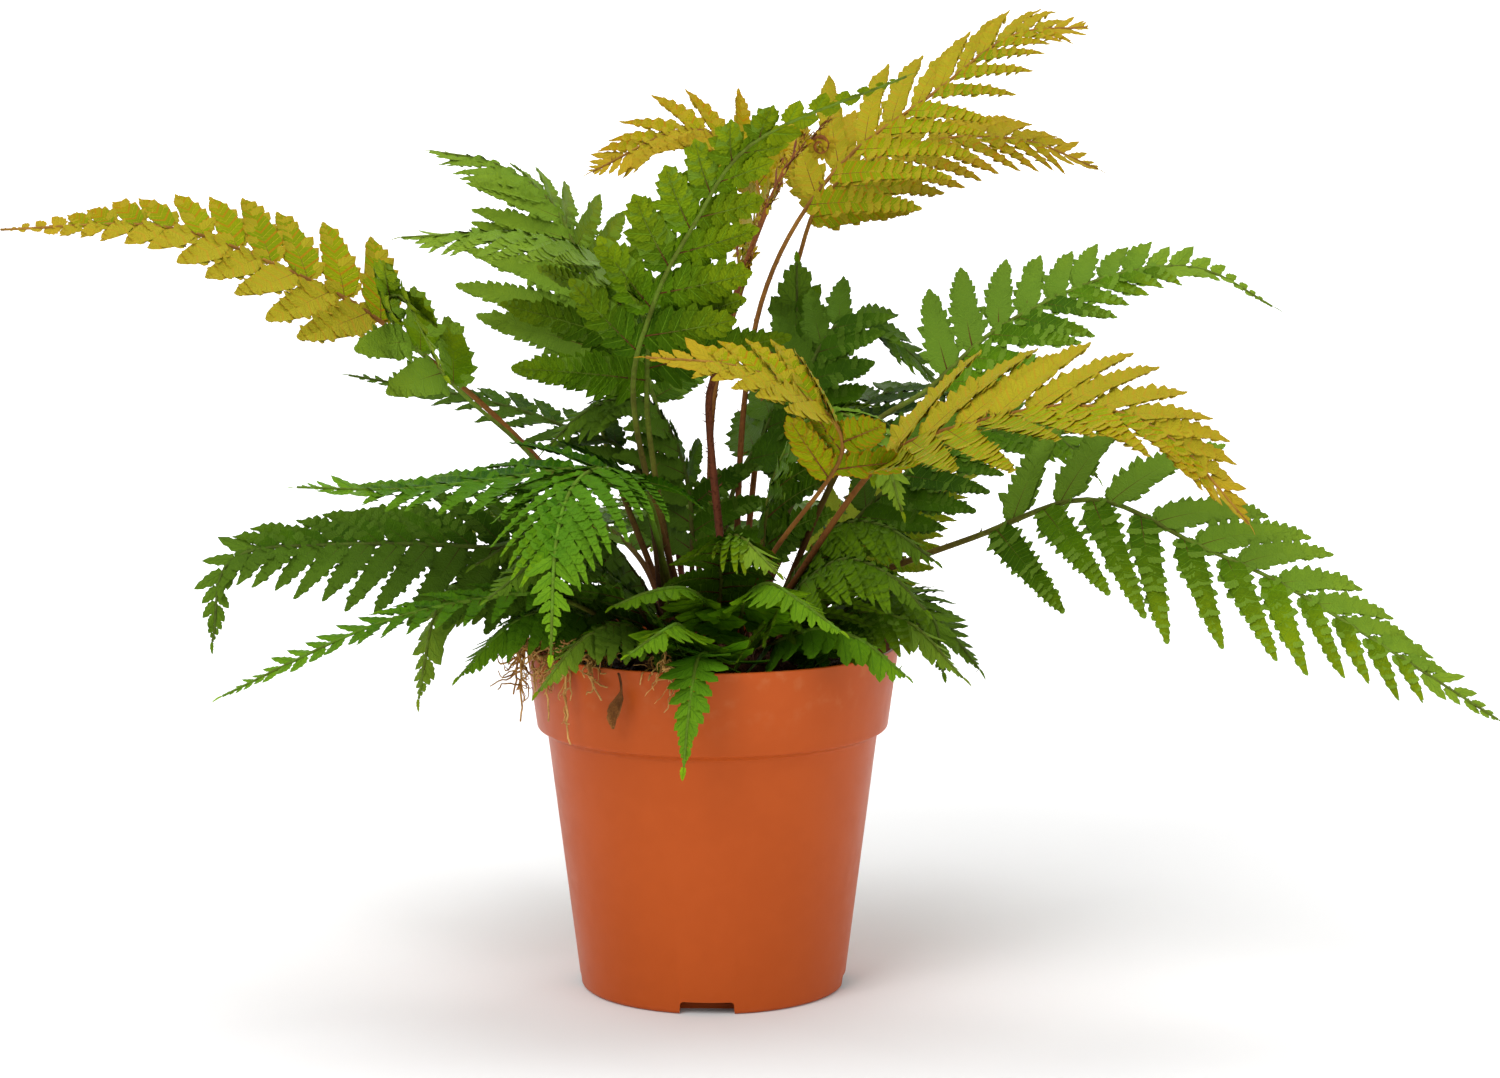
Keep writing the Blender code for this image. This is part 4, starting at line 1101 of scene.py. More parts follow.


# The light values below are painted light and shade for each frond, and the ripe_and_painted_light values
# are partly painted light.
# The values after each route: blade, pairs, length, width, roll, sag, fold, sweep and thick
FRONDS = (
    # The left side, from the high copper frond down to the thin ones at the rim
    Frond("frond_copper_left", Leaf.COPPER, (16, 188),
          ((-58, -8, 74), (-111, -16, 123), (-148, -22, 144), (-185, -28, 157), (-237, -33, 156)),
          0.53, 10, 37, 26, 46, 0.06, 8, 64, pitch=4.8, web=0.8, taper=1.05, full=0.72,
          simple=0.5, light=0.7),
    Frond("frond_young_left", Leaf.MATURE, (18, 207),
          ((-57, -18, 73), (-84, -30, 101), (-107, -39, 127), (-101, -54, 135), (-86, -74, 111)),
          0.58, 6, 32, 15, 50, 0.15, 5, 64, 0.8, pitch=4.6, web=0.8, full=0.8, ripe_and_painted_light=0.8),
    Frond("frond_upper_left", Leaf.MATURE, (18, 132),
          ((-38, 24, 79), (-42, 38, 119), (-55, 52, 157), (-77, 60, 174), (-102, 66, 179)),
          0.48, 11, 60, 18, 6, 0.14, -18, 66, full=0.8, ripe_and_painted_light=0.7, lean=0.6),
    Frond("frond_middle_left", Leaf.MATURE, (10, 176),
          ((-22, 2, 85), (-23, -2, 123), (-38, -10, 144), (-65, -18, 154), (-104, -26, 153)),
          0.44, 11, 60, 20, 8, 0.14, -14, 76, pitch=4.0, ripe_and_painted_light=0.4, lean=0.62),
    Frond("frond_thin_left", Leaf.SHADED, (18, 156),
          ((-26, 12, 70), (-54, 20, 85), (-86, 26, 94), (-129, 34, 101)),
          0.35, 10, 26, 10, 20, 0.10, 0, 60, 0.8, full=0.58),
    Frond("frond_inner_left", Leaf.SHADED, (10, 140),
          ((-8, 16, 59), (-17, 16, 87), (-29, 12, 95), (-44, 6, 91), (-57, 0, 79)),
          0.22, 12, 40, 17, 20, 0.3, -20, 60, 0.8),
    Frond("frond_bright_left", Leaf.FRESH, (19, 219),
          ((-20, -30, 62), (-37, -46, 77), (-70, -58, 75), (-102, -68, 73), (-134, -78, 75)),
          0.36, 9, 42, 13, 12, 0.12, 0, 60, 0.9, full=0.7, light=0.2),
    Frond("frond_drooping_left", Leaf.SHADED, (24, 196),
          ((-52, -18, 42), (-82, -32, 49), (-128, -42, 51), (-160, -50, 47), (-166, -54, 20)),
          0.22, 13, 40, 14, 48, 0.20, 0, 62, 0.9, full=0.75),
    Frond("frond_low_left", Leaf.FRESH, (25, 216),
          ((-51, -42, 33), (-77, -58, 35), (-112, -72, 28), (-158, -88, 8)),
          0.25, 13, 20, 7, 15, 0.08, 0, 58, 0.7, taper=0.6, full=0.6),
    Frond("frond_low_left_back", Leaf.MATURE, (25, 180),
          ((-49, -6, 30), (-73, -14, 37), (-93, -22, 27), (-100, -28, -4)),
          0.12, 11, 32, 12, 20, 0.2, -25, 60, 0.7),
    # The middle, from the tall arch down to the small fronds over the rim
    Frond("frond_centre_arch", Leaf.MATURE, (10, 232),
          ((-26, -20, 91), (-20, -34, 129), (-5, -43, 159), (15, -50, 186), (64, -56, 207)),
          0.44, 9, 38, 17, 45, 0.05, 5, 62, pitch=4.6, taper=1.1, full=0.8, ripe_and_painted_light=0.6),
    Frond("frond_dark_centre", Leaf.SHADED, (18, 84),
          ((6, 34, 56), (20, 48, 83), (29, 58, 111), (30, 66, 139)),
          0.46, 6, 40, 26, 0, 0.06, -10, 58, 0.9, pitch=5.0, web=0.85, full=0.95, light=1.3),
    Frond("frond_front_drop", Leaf.FRESH, (18, 240),
          ((-22, -44, 66), (-34, -62, 79), (-44, -82, 76), (-49, -100, 59), (-50, -114, 26)),
          0.40, 13, 54, 12, 0, 0.3, -6, 68, 0.9, taper=1.25, full=0.62, light=0.65),
    Frond("frond_low_left_front", Leaf.SHADED, (25, 233),
          ((-28, -48, 36), (-42, -66, 50), (-56, -82, 51), (-71, -96, 41)),
          0.14, 12, 38, 15, 15, 0.2, -14, 60, 0.8),
    Frond("frond_front_left", Leaf.FRESH, (25, 254),
          ((-1, -44, 29), (-8, -60, 39), (-20, -74, 40), (-31, -84, 37)),
          0.16, 10, 17, 14, 0, 0.25, -32, 66, 0.7, taper=0.55, simple=2.0, light=1.6, ripe_and_painted_light=0.3),
    Frond("frond_front_low", Leaf.FRESH, (25, 268),
          ((-6, -46, 18), (-10, -62, 27), (-14, -80, 29), (-26, -96, 23)),
          0.16, 10, 22, 16, 0, 0.25, -32, 66, 0.7, taper=0.55, simple=2.0, light=1.6, ripe_and_painted_light=0.3),
    Frond("frond_front_right", Leaf.FRESH, (25, 294),
          ((11, -44, 32), (19, -68, 42), (29, -86, 39), (42, -98, 31)),
          0.16, 12, 23, 15, 0, 0.25, -32, 66, 0.7, taper=0.55, simple=2.0,
          ripe_and_painted_light=0.3, light=1.6),
    Frond("frond_over_rim", Leaf.FRESH, (25, 281),
          ((3.2, -45.9, 12.8), (-3.2, -61.9, 17.3), (-6.0, -75.8, 8.3), (-8.6, -82.0, -16.7)),
          0.20, 11, 22, 14, 0, 0.02, 0, 64, 0.7, taper=0.9, simple=1.9, full=0.95),
    # The high copper fronds at the top right
    Frond("frond_copper_top", Leaf.COPPER, (10, 45),
          ((11, 38, 91), (21, 48, 137), (45, 56, 174), (79, 58, 200), (106, 58, 220), (133, 58, 223)),
          0.57, 10, 54, 18, -40, 0.22, 6, 56, pitch=4.4, full=0.62, taper=0.7, light=0.8),
    Frond("frond_copper_back", Leaf.COPPER, (19, 62),
          ((18, 60, 90), (30, 76, 137), (42, 86, 164), (76, 96, 181), (113, 102, 182), (142, 106, 171)),
          0.57, 9, 44, 16, -40, 0.2, 5, 54, pitch=4.4, full=0.62, taper=0.7, ripe_and_painted_light=0.5),
    Frond("frond_copper_inner", Leaf.COPPER, (10, 98),
          ((0, 46, 90), (14, 62, 144), (14, 68, 172), (-9, 64, 187), (-43, 56, 172)),
          0.54, 9, 40, 17, 44, 0.10, 5, 60, 0.9, pitch=4.4, full=0.66, taper=0.6, ripe_and_painted_light=0.6),
    # The right side, from the upright green frond down to the rim
    Frond("frond_upright_right", Leaf.MATURE, (18, 12),
          ((48, 12, 77), (76, 26, 97), (102, 38, 118), (142, 52, 135), (175, 60, 137), (202, 66, 123)),
          0.45, 12, 38, 15, -45, 0.10, 10, 60, full=0.7, ripe_and_painted_light=0.1, taper=1.05),
    Frond("frond_dark_right", Leaf.SHADED, (18, 30),
          ((25, 18, 66), (32, 26, 100), (48, 32, 122), (68, 38, 110), (82, 42, 94)),
          0.48, 8, 32, 15, -35, 0.10, 0, 60, 0.9, full=0.8),
    Frond("frond_yellow_right", Leaf.COPPER, (18, 309),
          ((25, -28, 32), (56, -60, 81), (86, -78, 96), (119, -92, 103), (146, -102, 94),
           (171, -108, 67)),
          0.40, 11, 58, 17, -30, 0.10, 10, 54, pitch=4.2, scales=1.0, full=0.8),
    Frond("frond_yellow_inner", Leaf.COPPER, (18, 285),
          ((20, -48, 48), (43, -80, 87), (29, -90, 107), (8, -94, 116), (-20, -98, 119)),
          0.50, 8, 36, 17, 38, 0.12, 5, 54, 0.8, pitch=4.2, full=0.8),
    Frond("frond_inner_right", Leaf.MATURE, (18, 346),
          ((18, -6, 54), (27, -14, 83), (40, -22, 94), (56, -32, 85), (64, -40, 62)),
          0.22, 12, 42, 17, -25, 0.3, -20, 60, 0.8),
    Frond("frond_back_right", Leaf.SHADED, (25, 6),
          ((44, 4, 46), (72, 6, 73), (100, 4, 85), (120, 0, 82), (133, -4, 69)),
          0.34, 10, 42, 16, -35, 0.14, 0, 60, 0.9, full=0.8, light=1.3),
    Frond("frond_long_right", Leaf.MATURE, (25, 352),
          ((48, -14, 33), (89, -36, 53), (126, -54, 68), (161, -68, 54), (192, -78, 40),
           (255, -92, 1)),
          0.33, 11, 54, 16, -52, 0.18, 5, 64, ripe_and_painted_light=0.3, lean=0.6, full=0.58),
    Frond("frond_low_right_front", Leaf.SHADED, (25, 322),
          ((26, -38, 32), (43, -56, 48), (59, -70, 45), (70, -80, 35)),
          0.12, 12, 40, 15, -10, 0.3, -30, 60, 0.8, light=1.5, ripe_and_painted_light=0.8),
    Frond("frond_low_right", Leaf.SHADED, (25, 338),
          ((47, -18, 25), (64, -28, 31), (75, -37, 25), (78, -44, 8)),
          0.14, 11, 30, 12, -20, 0.15, -6, 60, 0.7, light=1.6, ripe_and_painted_light=0.8),
    Frond("frond_lime_back", Leaf.LIME, (25, 22),
          ((40, 16, 31), (56, 30, 46), (74, 42, 55), (96, 52, 66)),
          0.25, 9, 36, 12, -35, 0.08, 0, 58, 0.8, full=0.8),
    # Low fronds that fill the middle and hide the rim
    Frond("frond_inner_front", Leaf.MATURE, (14, 274),
          ((3, -30, 34), (4, -44, 52), (10, -58, 56), (22, -72, 46)),
          0.15, 12, 40, 16, 0, 0.3, -30, 60, 0.8),
    Frond("frond_inner_dark_left", Leaf.SHADED, (13, 210),
          ((-26, -12, 36), (-40, -26, 54), (-58, -40, 56), (-78, -54, 46)),
          0.14, 13, 42, 16, 15, 0.3, -30, 60, 0.8),
    Frond("frond_inner_dark_right", Leaf.SHADED, (18, 325),
          ((28, -22, 38), (42, -34, 56), (58, -46, 58), (74, -58, 48)),
          0.14, 13, 42, 16, -15, 0.3, -30, 60, 0.8, light=1.5, ripe_and_painted_light=0.8),
    Frond("frond_rim_left", Leaf.FRESH, (25, 205),
          ((-40, -20, 22), (-56, -30, 27), (-70, -40, 22), (-84, -52, 8)),
          0.12, 10, 28, 11, 10, 0.2, -30, 60, 0.7),
    Frond("frond_rim_front_left", Leaf.MATURE, (25, 243.5),
          ((-20, -38, 20), (-32, -54, 26), (-44, -68, 22), (-56, -80, 8)),
          0.12, 10, 28, 11, 5, 0.2, -30, 60, 0.7),
    Frond("frond_rim_front_right", Leaf.FRESH, (25, 308),
          ((24, -36, 18), (36, -50, 24), (50, -62, 22), (64, -72, 12)),
          0.10, 8, 27, 16, -5, 0.2, -42, 64, 0.7, simple=2.2, taper=0.6),
    Frond("frond_rim_right", Leaf.MATURE, (25, 330),
          ((36, -24, 20), (52, -34, 27), (68, -44, 24), (84, -54, 8)),
          0.12, 10, 28, 11, -10, 0.2, -30, 60, 0.7),
    Frond("frond_rim_right_side", Leaf.SHADED, (25, 359),
          ((43, -1, 20), (61, -4, 26), (78, -10, 20), (92, -15, 4)),
          0.14, 10, 27, 11, -20, 0.15, -10, 60, 0.7, light=1.6, ripe_and_painted_light=0.8),
    # The rear, seen through the plant and from behind
    Frond("frond_rear_left", Leaf.MATURE, (25, 128),
          ((-26, 40, 34), (-48, 76, 46), (-74, 112, 44), (-102, 146, 24)),
          0.24, 12, 46, 14, 0, 0.12, 0, 60, 0.9, full=0.58),
    Frond("frond_rear_middle", Leaf.MATURE, (25, 100),
          ((-6, 46, 38), (-11, 92, 48), (-18, 138, 44), (-26, 184, 18)),
          0.24, 13, 46, 14, 0, 0.12, 0, 60, 0.9, full=0.58),
    Frond("frond_rear_right", Leaf.MATURE, (25, 56),
          ((24, 42, 34), (40, 80, 46), (60, 122, 42), (82, 162, 16)),
          0.24, 12, 46, 14, 0, 0.12, 0, 60, 0.9, full=0.58),
    Frond("frond_rear_high_left", Leaf.MATURE, (25, 114),
          ((-14, 42, 58), (-26, 80, 102), (-38, 118, 122), (-52, 158, 108)),
          0.46, 9, 46, 17, 0, 0.12, 0, 60, 0.9, full=0.58),
    Frond("frond_rear_high_right", Leaf.SHADED, (18, 44),
          ((26, 38, 50), (50, 74, 82), (78, 108, 90), (108, 142, 72)),
          0.44, 9, 44, 16, 0, 0.12, 0, 60, 0.9, full=0.58),
)


@dataclass(frozen=True)
class SideLeaf:
    """One side leaf of a frond: where it starts, its directions and its size in metres."""

    root: Vector
    out: Vector
    forward: Vector
    normal: Vector
    length: float
    half: float
    sag: float
    pitch: float
    web: float
    tone: float
    age: float

    FORWARD_BEND = 0.10
    LEAST_ANGLE, FOOT_ANGLE = 40, 66

    def middle(self, along: float) -> Vector:
        """The point on its midrib at a share of its length."""
        bend = Vector((0, 0, -self.sag * self.length)) + self.forward * (self.FORWARD_BEND * self.length)
        return self.root + self.out * (self.length * along) + bend * along ** 2

    def ahead(self, along: float) -> Vector:
        """The way its midrib runs at a share of its length."""
        return (self.middle(along + 0.02) - self.middle(along)).normalized()

    def angle(self, along: float) -> float:
        """The angle between its midrib and the leaflets there."""
        return math.radians(self.FOOT_ANGLE - (self.FOOT_ANGLE - self.LEAST_ANGLE) * along)

    def reach(self, along: float) -> float:
        """How far its leaflets reach from its midrib."""
        return self.half * min(1.0, (along + 0.06) / 0.14) * max(0.0, 1 - along) ** 0.6

    def age_at(self, along: float) -> float:
        """How far a leaflet has turned: by its frond and by its place on the side leaf."""
        return 0.55 * self.age + 0.45 * along


class FrondBuilder:
    """Builds the stalk and the blade of one frond."""

    # Radii of the stalk at its foot and near its tip, and shares of the second for its end
    # and for a side leaf's midrib
    ROOT_STALK = 0.0013
    TIP_STALK = 0.0007
    END_SHARE = 0.6
    MIDRIB_SHARE = 0.55
    STALK_STEPS = 44
    # Side leaves shorter than this stay whole
    SIMPLE = 0.0125
    # Side leaves for each of the frond's pairs, how they crowd towards the tip, and how far
    # the left ones are set on from the right ones
    PAIRS = 1.5
    CROWDING = 1.12
    OFFSET = 0.35
    # How full a frond is where its side leaves keep their own width; a fuller one widens them
    OWN_FULL = 0.58
    # The room for one leaflet as a share of the frond's pitch, and how much it overfills it
    SPACING = 0.82
    OVERLAP = 1.22

    def __init__(self, frond: Frond, ground: Ground, number: int) -> None:
        """Lay out the frond's line.

        Args:
            frond: The frond's sizes.
            ground: The heights it stands on.
            number: Its place in the table, which seeds its own variation.
        """
        self.frond = frond
        self.number = number
        self.source = random.Random(100 + number)
        self.spine = Spine(ground.route(frond.foot, frond.route))
        self.guide = LeafletGuide(frond.name + "_blade")
        self.sheets = MeshDraft(frond.name + "_sheets", ("tone", "age"))
        self.stalk = MeshDraft(frond.name + "_stalk", ("share", "cover"))

    def stalk_radius(self, share: float) -> float:
        """The stalk's radius at a share of the frond's length."""
        low = self.ROOT_STALK * self.frond.thick
        return low + (self.TIP_STALK * self.END_SHARE - low) * share

    def side_leaves(self) -> list[SideLeaf]:
        """All side leaves, in pairs from the first to the tip."""
        count = round(self.frond.pairs * self.PAIRS)
        leaves = []
        for number in range(count):
            for sign in (1, -1):
                place = (number + (0.0 if sign > 0 else self.OFFSET)) / count
                leaves.append(self.side_leaf(place, count, sign))
        return leaves

    def side_leaf(self, place: float, count: int, sign: int) -> SideLeaf:
        """One side leaf.

        Args:
            place: Its number as a share of the count, from the first to the tip.
            count: How many there are on each side.
            sign: 1 on the right, -1 on the left.

        Returns:
            Where it starts, its directions and its size.
        """
        frond = self.frond
        power = self.CROWDING * count / frond.pairs
        share = 1 - (1 - place) ** power
        root, tangent, side, normal = self.spine.at(frond.blade + (1 - frond.blade) * share)
        roll, fold = math.radians(frond.roll), math.radians(frond.fold)
        right = side * math.cos(roll) + normal * math.sin(roll)
        up = normal * math.cos(roll) - side * math.sin(roll)
        sweep = math.radians(frond.sweep * (1 - frond.lean * share) + self.source.uniform(-4, 4))
        across = right * (sign * math.cos(fold)) + up * math.sin(fold)
        across = (across + up * self.source.uniform(-0.07, 0.07)).normalized()
        out = (tangent * math.cos(sweep) + across * math.sin(sweep)).normalized()
        forward = (tangent - out * tangent.dot(out)).normalized()
        taper = (1 - share) ** frond.taper * (0.85 + 0.15 * min(1.0, share / 0.15))
        length = frond.length * MM * taper * self.source.uniform(0.92, 1.05)
        blade_length = self.spine.length * (1 - frond.blade)
        room = blade_length * power / count * (1 - share) ** ((power - 1) / power)
        half = frond.width * MM / 2 * (length / (frond.length * MM)) ** 0.45
        half = min(half * max(1.0, frond.full / self.OWN_FULL), frond.full * room * math.sin(sweep))
        # Painted light and shade: the frond's light value brightens the leaves of fronds in shade and
        # darkens those in full light, over their own random tone.
        tone = min(1.0, self.source.uniform(0.25, 1.0) * frond.light)
        # The shift towards the young colour is partly the frond's own youth and partly painted light that
        # brightens fronds in shade.
        return SideLeaf(root, out, forward, forward.cross(out) * sign, length, half, frond.sag,
                        frond.pitch * MM, frond.web, tone, min(1.0, share + frond.ripe_and_painted_light))

    def add_leaflet(self, root: Vector, out: Vector, normal: Vector, length: float, width: float,
                    tone: float, age: float) -> None:
        """Add one leaflet to the guide."""
        self.guide.add(root, out, normal, (width, length, (width + length) / 2), tone, age)

    def add_side_leaf(self, leaf: SideLeaf) -> None:
        """Divide a side leaf into leaflets, with its web and its midrib.

        A short one stays simple: one scalloped lobe.
        """
        if leaf.length < self.SIMPLE * self.frond.simple:
            self.add_leaflet(leaf.root, leaf.out, leaf.normal, leaf.length, leaf.half * 1.7,
                             leaf.tone, leaf.age)
            return
        count = max(4, round(leaf.length / (leaf.pitch * self.SPACING)))
        places = [1 - (1 - (number + 0.35) / count) ** 1.2 for number in range(count)]
        for number, along in enumerate(places[:-1]):
            room = (places[number + 1] - along) * leaf.length
            middle, ahead, angle = leaf.middle(along), leaf.ahead(along), leaf.angle(along)
            reach = leaf.reach(along) / math.sin(angle)
            for sign in (1, -1):
                out = ahead * math.cos(angle) + leaf.forward * (sign * math.sin(angle))
                out = (out - leaf.normal * 0.10).normalized()
                tone = min(1.0, leaf.tone * (0.85 + 0.2 * self.source.random()))
                self.add_leaflet(middle, out, leaf.normal, reach, room * self.OVERLAP + 0.0004,
                                 tone, leaf.age_at(along))
        last = leaf.middle(places[-1])
        ahead = (leaf.middle(1.0) - last).normalized()
        self.add_leaflet(last, ahead, leaf.normal, leaf.length * (1 - places[-1]) + 0.0015,
                         leaf.half * 0.35, leaf.tone, leaf.age_at(1.0))
        self.add_web(leaf, places)
        self.add_midrib(leaf)

    def add_web(self, leaf: SideLeaf, places: list[float]) -> None:
        """The undivided strip just below a side leaf's leaflets.

        Args:
            leaf: The side leaf.
            places: Where its leaflets start, as shares of its length.
        """
        rows = []
        for along in (0.0, *((low + high) / 2 for low, high in zip(places, places[1:])), 0.98):
            middle = leaf.middle(along)
            half = leaf.reach(along) * leaf.web + 0.0003
            edge = middle + leaf.ahead(along) * (half / math.tan(leaf.angle(along)))
            edge = edge - leaf.normal * (0.2 * half + 0.0001)
            rows.append([self.sheets.point(point, tone=leaf.tone, age=leaf.age_at(along))
                         for point in (edge + leaf.forward * half, middle - leaf.normal * 0.0001,
                                       edge - leaf.forward * half)])
        for low, high in zip(rows, rows[1:]):
            self.sheets.face((low[0], low[1], high[1], high[0]),
                             [(0.0, leaf.web), (0.0, 0.0), (1.0, 0.0), (1.0, leaf.web)])
            self.sheets.face((low[1], low[2], high[2], high[1]),
                             [(1.0, 0.0), (1.0, leaf.web), (0.0, leaf.web), (0.0, 0.0)])

    def add_midrib(self, leaf: SideLeaf) -> None:
        """The thin rib along a side leaf, which is part of the stalk's piece."""
        steps = max(4, round(leaf.length / 0.004))
        line = [leaf.middle(step / steps * 0.97) + leaf.normal * 0.00008 for step in range(steps + 1)]
        thick = self.TIP_STALK * self.MIDRIB_SHARE * (leaf.length / (self.frond.length * MM)) ** 0.5
        radii = [thick * (1 - 0.75 * step / steps) for step in range(steps + 1)]
        self.stalk.tube(line, radii, 4, share=1.0)

    def build(self, tools: Tools) -> None:
        """Build both pieces and report them.

        Args:
            tools: The shared templates, trees and materials.
        """
        frond = self.frond
        for leaf in self.side_leaves():
            self.add_side_leaf(leaf)
        tip, tangent, _, normal = self.spine.at(1.0)
        self.add_leaflet(tip, tangent, normal, 0.004, 0.002, 0.8, 1.0)
        sheets = self.sheets.build()
        blade = self.guide.grow(tools, tools.leaves[frond.leaf], self.number, Sheets=sheets)
        bpy.data.objects.remove(sheets)
        settle(blade, frond.leaf.value, frond.name)
        self.build_stalk(tools)

    def build_stalk(self, tools: Tools) -> None:
        """The stalk and midrib, with papery scales towards the foot."""
        shares = [step / self.STALK_STEPS for step in range(self.STALK_STEPS + 1)]
        first = len(self.stalk.points)
        self.stalk.tube([self.spine.at(share)[0] for share in shares],
                        [self.stalk_radius(share) for share in shares], 7)
        for number in range(first, len(self.stalk.points)):
            share = self.stalk.values["share"][number]
            bare = max(0.0, 1 - share / max(self.frond.blade, 0.01))
            self.stalk.values["cover"][number] = (0.12 + bare) * self.frond.scales
        stalk = tools.strew(self.stalk, tools.scale, STALK_SCALES, tools.stalks[self.frond.leaf],
                            self.number)
        settle(stalk, "hairy_stalk", self.frond.name)


# ---- croziers


@dataclass(frozen=True)
class Crozier:
    """A young frond that is still unrolling: its stalk, its coiled tip and its coiled side shoots.

    thick scales the stalk. Each shoot gives the share of the stalk where it starts, its side,
    its length and its coil's radius in millimetres, and how far it turns up.
    """

    name: str
    foot: Flat
    route: tuple[Corner, ...]
    coil: float
    thick: float
    shoots: tuple[tuple[float, int, float, float, float], ...]


CROZIERS = (
    Crozier("crozier_tall", (8, 330),
            ((-1, 5, 85), (1, 7, 105), (11, 10, 140), (25, 12, 174), (35, 14, 185)), 3.4, 1.2,
            ((0.70, -1, 24, 2.4, 4), (0.71, 1, 9, 2.4, 3), (0.80, -1, 18, 3.6, -3),
             (0.84, 1, 13, 3.0, 2), (0.88, -1, 14, 3.2, 1), (0.92, 1, 15, 3.0, 3),
             (0.95, -1, 10, 2.6, 4), (0.975, 1, 15, 2.8, 6))),
    Crozier("crozier_small", (19, 115), ((-17, 34, 64), (-28, 44, 112), (-32, 46, 138)), 3.2, 0.7,
            ((0.93, -1, 4, 1.6, 1), (0.96, 1, 4, 1.6, 1))),
)


def coil(start: Vector, heading: Vector, inward: Vector, radius: float, turns: float = 1.2,
         steps: int = 22) -> list[Vector]:
    """A flat spiral that winds inward, its radius falling to a third.

    Args:
        start: Where it begins.
        heading: Which way it sets out.
        inward: The direction of its centre.
        radius: Its radius at the start.
        turns: How many turns it takes.
        steps: How many points it has.

    Returns:
        The points, without the start.
    """
    centre = start + inward * radius
    points = []
    for step in range(1, steps + 1):
        share = step / steps
        angle = 2 * math.pi * turns * share
        reach = radius * (1 - 0.68 * share)
        points.append(centre + (heading * math.sin(angle) - inward * math.cos(angle)) * reach)
    return points


class CrozierBuilder:
    """Builds one young frond with its scaly stalk and its rolled green-gold buds."""

    FOOT_RADIUS = 0.0013
    END_RADIUS = 0.0008
    SHOOT_RADIUS = 0.0006
    STALK_STEPS = 44
    TIP_BUD = 0.0034
    SHOOT_BUD = 0.0042

    def __init__(self, crozier: Crozier, ground: Ground, number: int) -> None:
        """Lay out the stalk."""
        self.crozier = crozier
        self.spine = Spine(ground.route(crozier.foot, crozier.route))
        self.source = random.Random(900 + number)
        self.number = number
        self.stalk = MeshDraft(crozier.name + "_stalk", ("share", "cover"))
        self.guide = LeafletGuide(crozier.name + "_buds")

    def add_buds(self, line: list[Vector], width: float) -> None:
        """Set small folded leaflets along both sides of a shoot.

        Args:
            line: The shoot's centre line.
            width: The length of the widest leaflet.
        """
        flat = (line[-1] - line[0]).cross(line[len(line) // 2] - line[0])
        flat = flat.normalized() if flat.length > 1e-9 else Vector((0, -1, 0))
        for number in range(1, len(line) - 1):
            share = number / (len(line) - 1)
            ahead = (line[number + 1] - line[number - 1]).normalized()
            across = ahead.cross(flat).normalized()
            size = width * (1 - 0.6 * share)
            for sign in (1, -1):
                out = (ahead * 0.7 + across * sign + flat * self.source.uniform(-0.3, 0.3)).normalized()
                self.guide.add(line[number], out, flat, (size * 0.62, size, size),
                               self.source.uniform(0.2, 0.9), 0.8)

    def add_stalk(self) -> None:
        """The stalk with its coiled tip."""
        steps = self.STALK_STEPS
        thick = self.FOOT_RADIUS * self.crozier.thick
        low = [self.spine.at(step / steps)[0] for step in range(steps + 1)]
        end, tangent, _, normal = self.spine.at(1.0)
        tip = coil(end, tangent, -normal, self.crozier.coil * MM)
        radii = [thick + (self.END_RADIUS - thick) * step / steps for step in range(steps + 1)]
        radii += [self.END_RADIUS - 0.0004 * step / len(tip) for step in range(len(tip))]
        self.stalk.tube(low + tip, radii, 8, cover=1.0)
        self.add_buds(tip, self.TIP_BUD * self.crozier.thick)

    def add_shoot(self, share: float, sign: int, length: float, radius: float, lift: float) -> None:
        """A side shoot that ends in a coil.

        Args:
            share: Where on the stalk it starts.
            sign: 1 on the right, -1 on the left.
            length: The length of its straight part in millimetres.
            radius: The coil's radius in millimetres.
            lift: How far it turns up.
        """
        point, tangent, side, _ = self.spine.at(share)
        out = (tangent * 0.45 + side * sign * 1.1 + Vector((0, 0, lift * 0.06))).normalized()
        inward = (tangent - out * tangent.dot(out)).normalized()
        straight = [point + out * (length * MM * step / 6) for step in range(7)]
        line = straight + coil(straight[-1], out, inward, radius * MM, 0.9, 14)
        radii = [self.SHOOT_RADIUS - 0.0003 * step / len(line) for step in range(len(line))]
        self.stalk.tube(line, radii, 5, cover=0.35)
        self.add_buds(line, self.SHOOT_BUD)

    def build(self, tools: Tools) -> None:
        """Build and report both pieces."""
        name = self.crozier.name
        self.add_stalk()
        for shoot in self.crozier.shoots:
            self.add_shoot(*shoot)
        stalk = tools.strew(self.stalk, tools.scale, CROZIER_SCALES,
                            CROZIER_FINISH.build(tools.effects), 50 + self.number)
        settle(stalk, "hairy_stalk", name)
        buds = self.guide.grow(tools, tools.leaves[Leaf.COPPER], 60 + self.number,
                               Turn_Jitter=0.35, Size_Jitter=0.2)
        settle(buds, "copper_leaf", name)


# ---- pot and soil


def lathe(name: str, profile: list[Flat], steps: int, value: str = "share") -> MeshDraft:
    """A closed solid turned about Z.

    Args:
        name: The draft's name.
        profile: Radius and height from the top of the axis round to its bottom.
        steps: How many steps the turn has.
        value: The point value to carry, one everywhere but at the bottom's middle.

    Returns:
        The draft, so that its points can still be changed.
    """
    draft = MeshDraft(name, (value,))
    top = draft.point(Vector((0, 0, profile[0][1])), **{value: 1.0})
    bottom = draft.point(Vector((0, 0, profile[-1][1])), **{value: 0.0})
    rings = []
    for radius, height in profile[1:-1]:
        rings.append([draft.point(on_circle(radius, 360 * step / steps, height), **{value: 1.0})
                      for step in range(steps)])
    for step in range(steps):
        after = (step + 1) % steps
        draft.face((top, rings[0][step], rings[0][after]))
        draft.face((bottom, rings[-1][after], rings[-1][step]))
        for upper, lower in zip(rings, rings[1:]):
            draft.face((upper[step], lower[step], lower[after], upper[after]))
    return draft


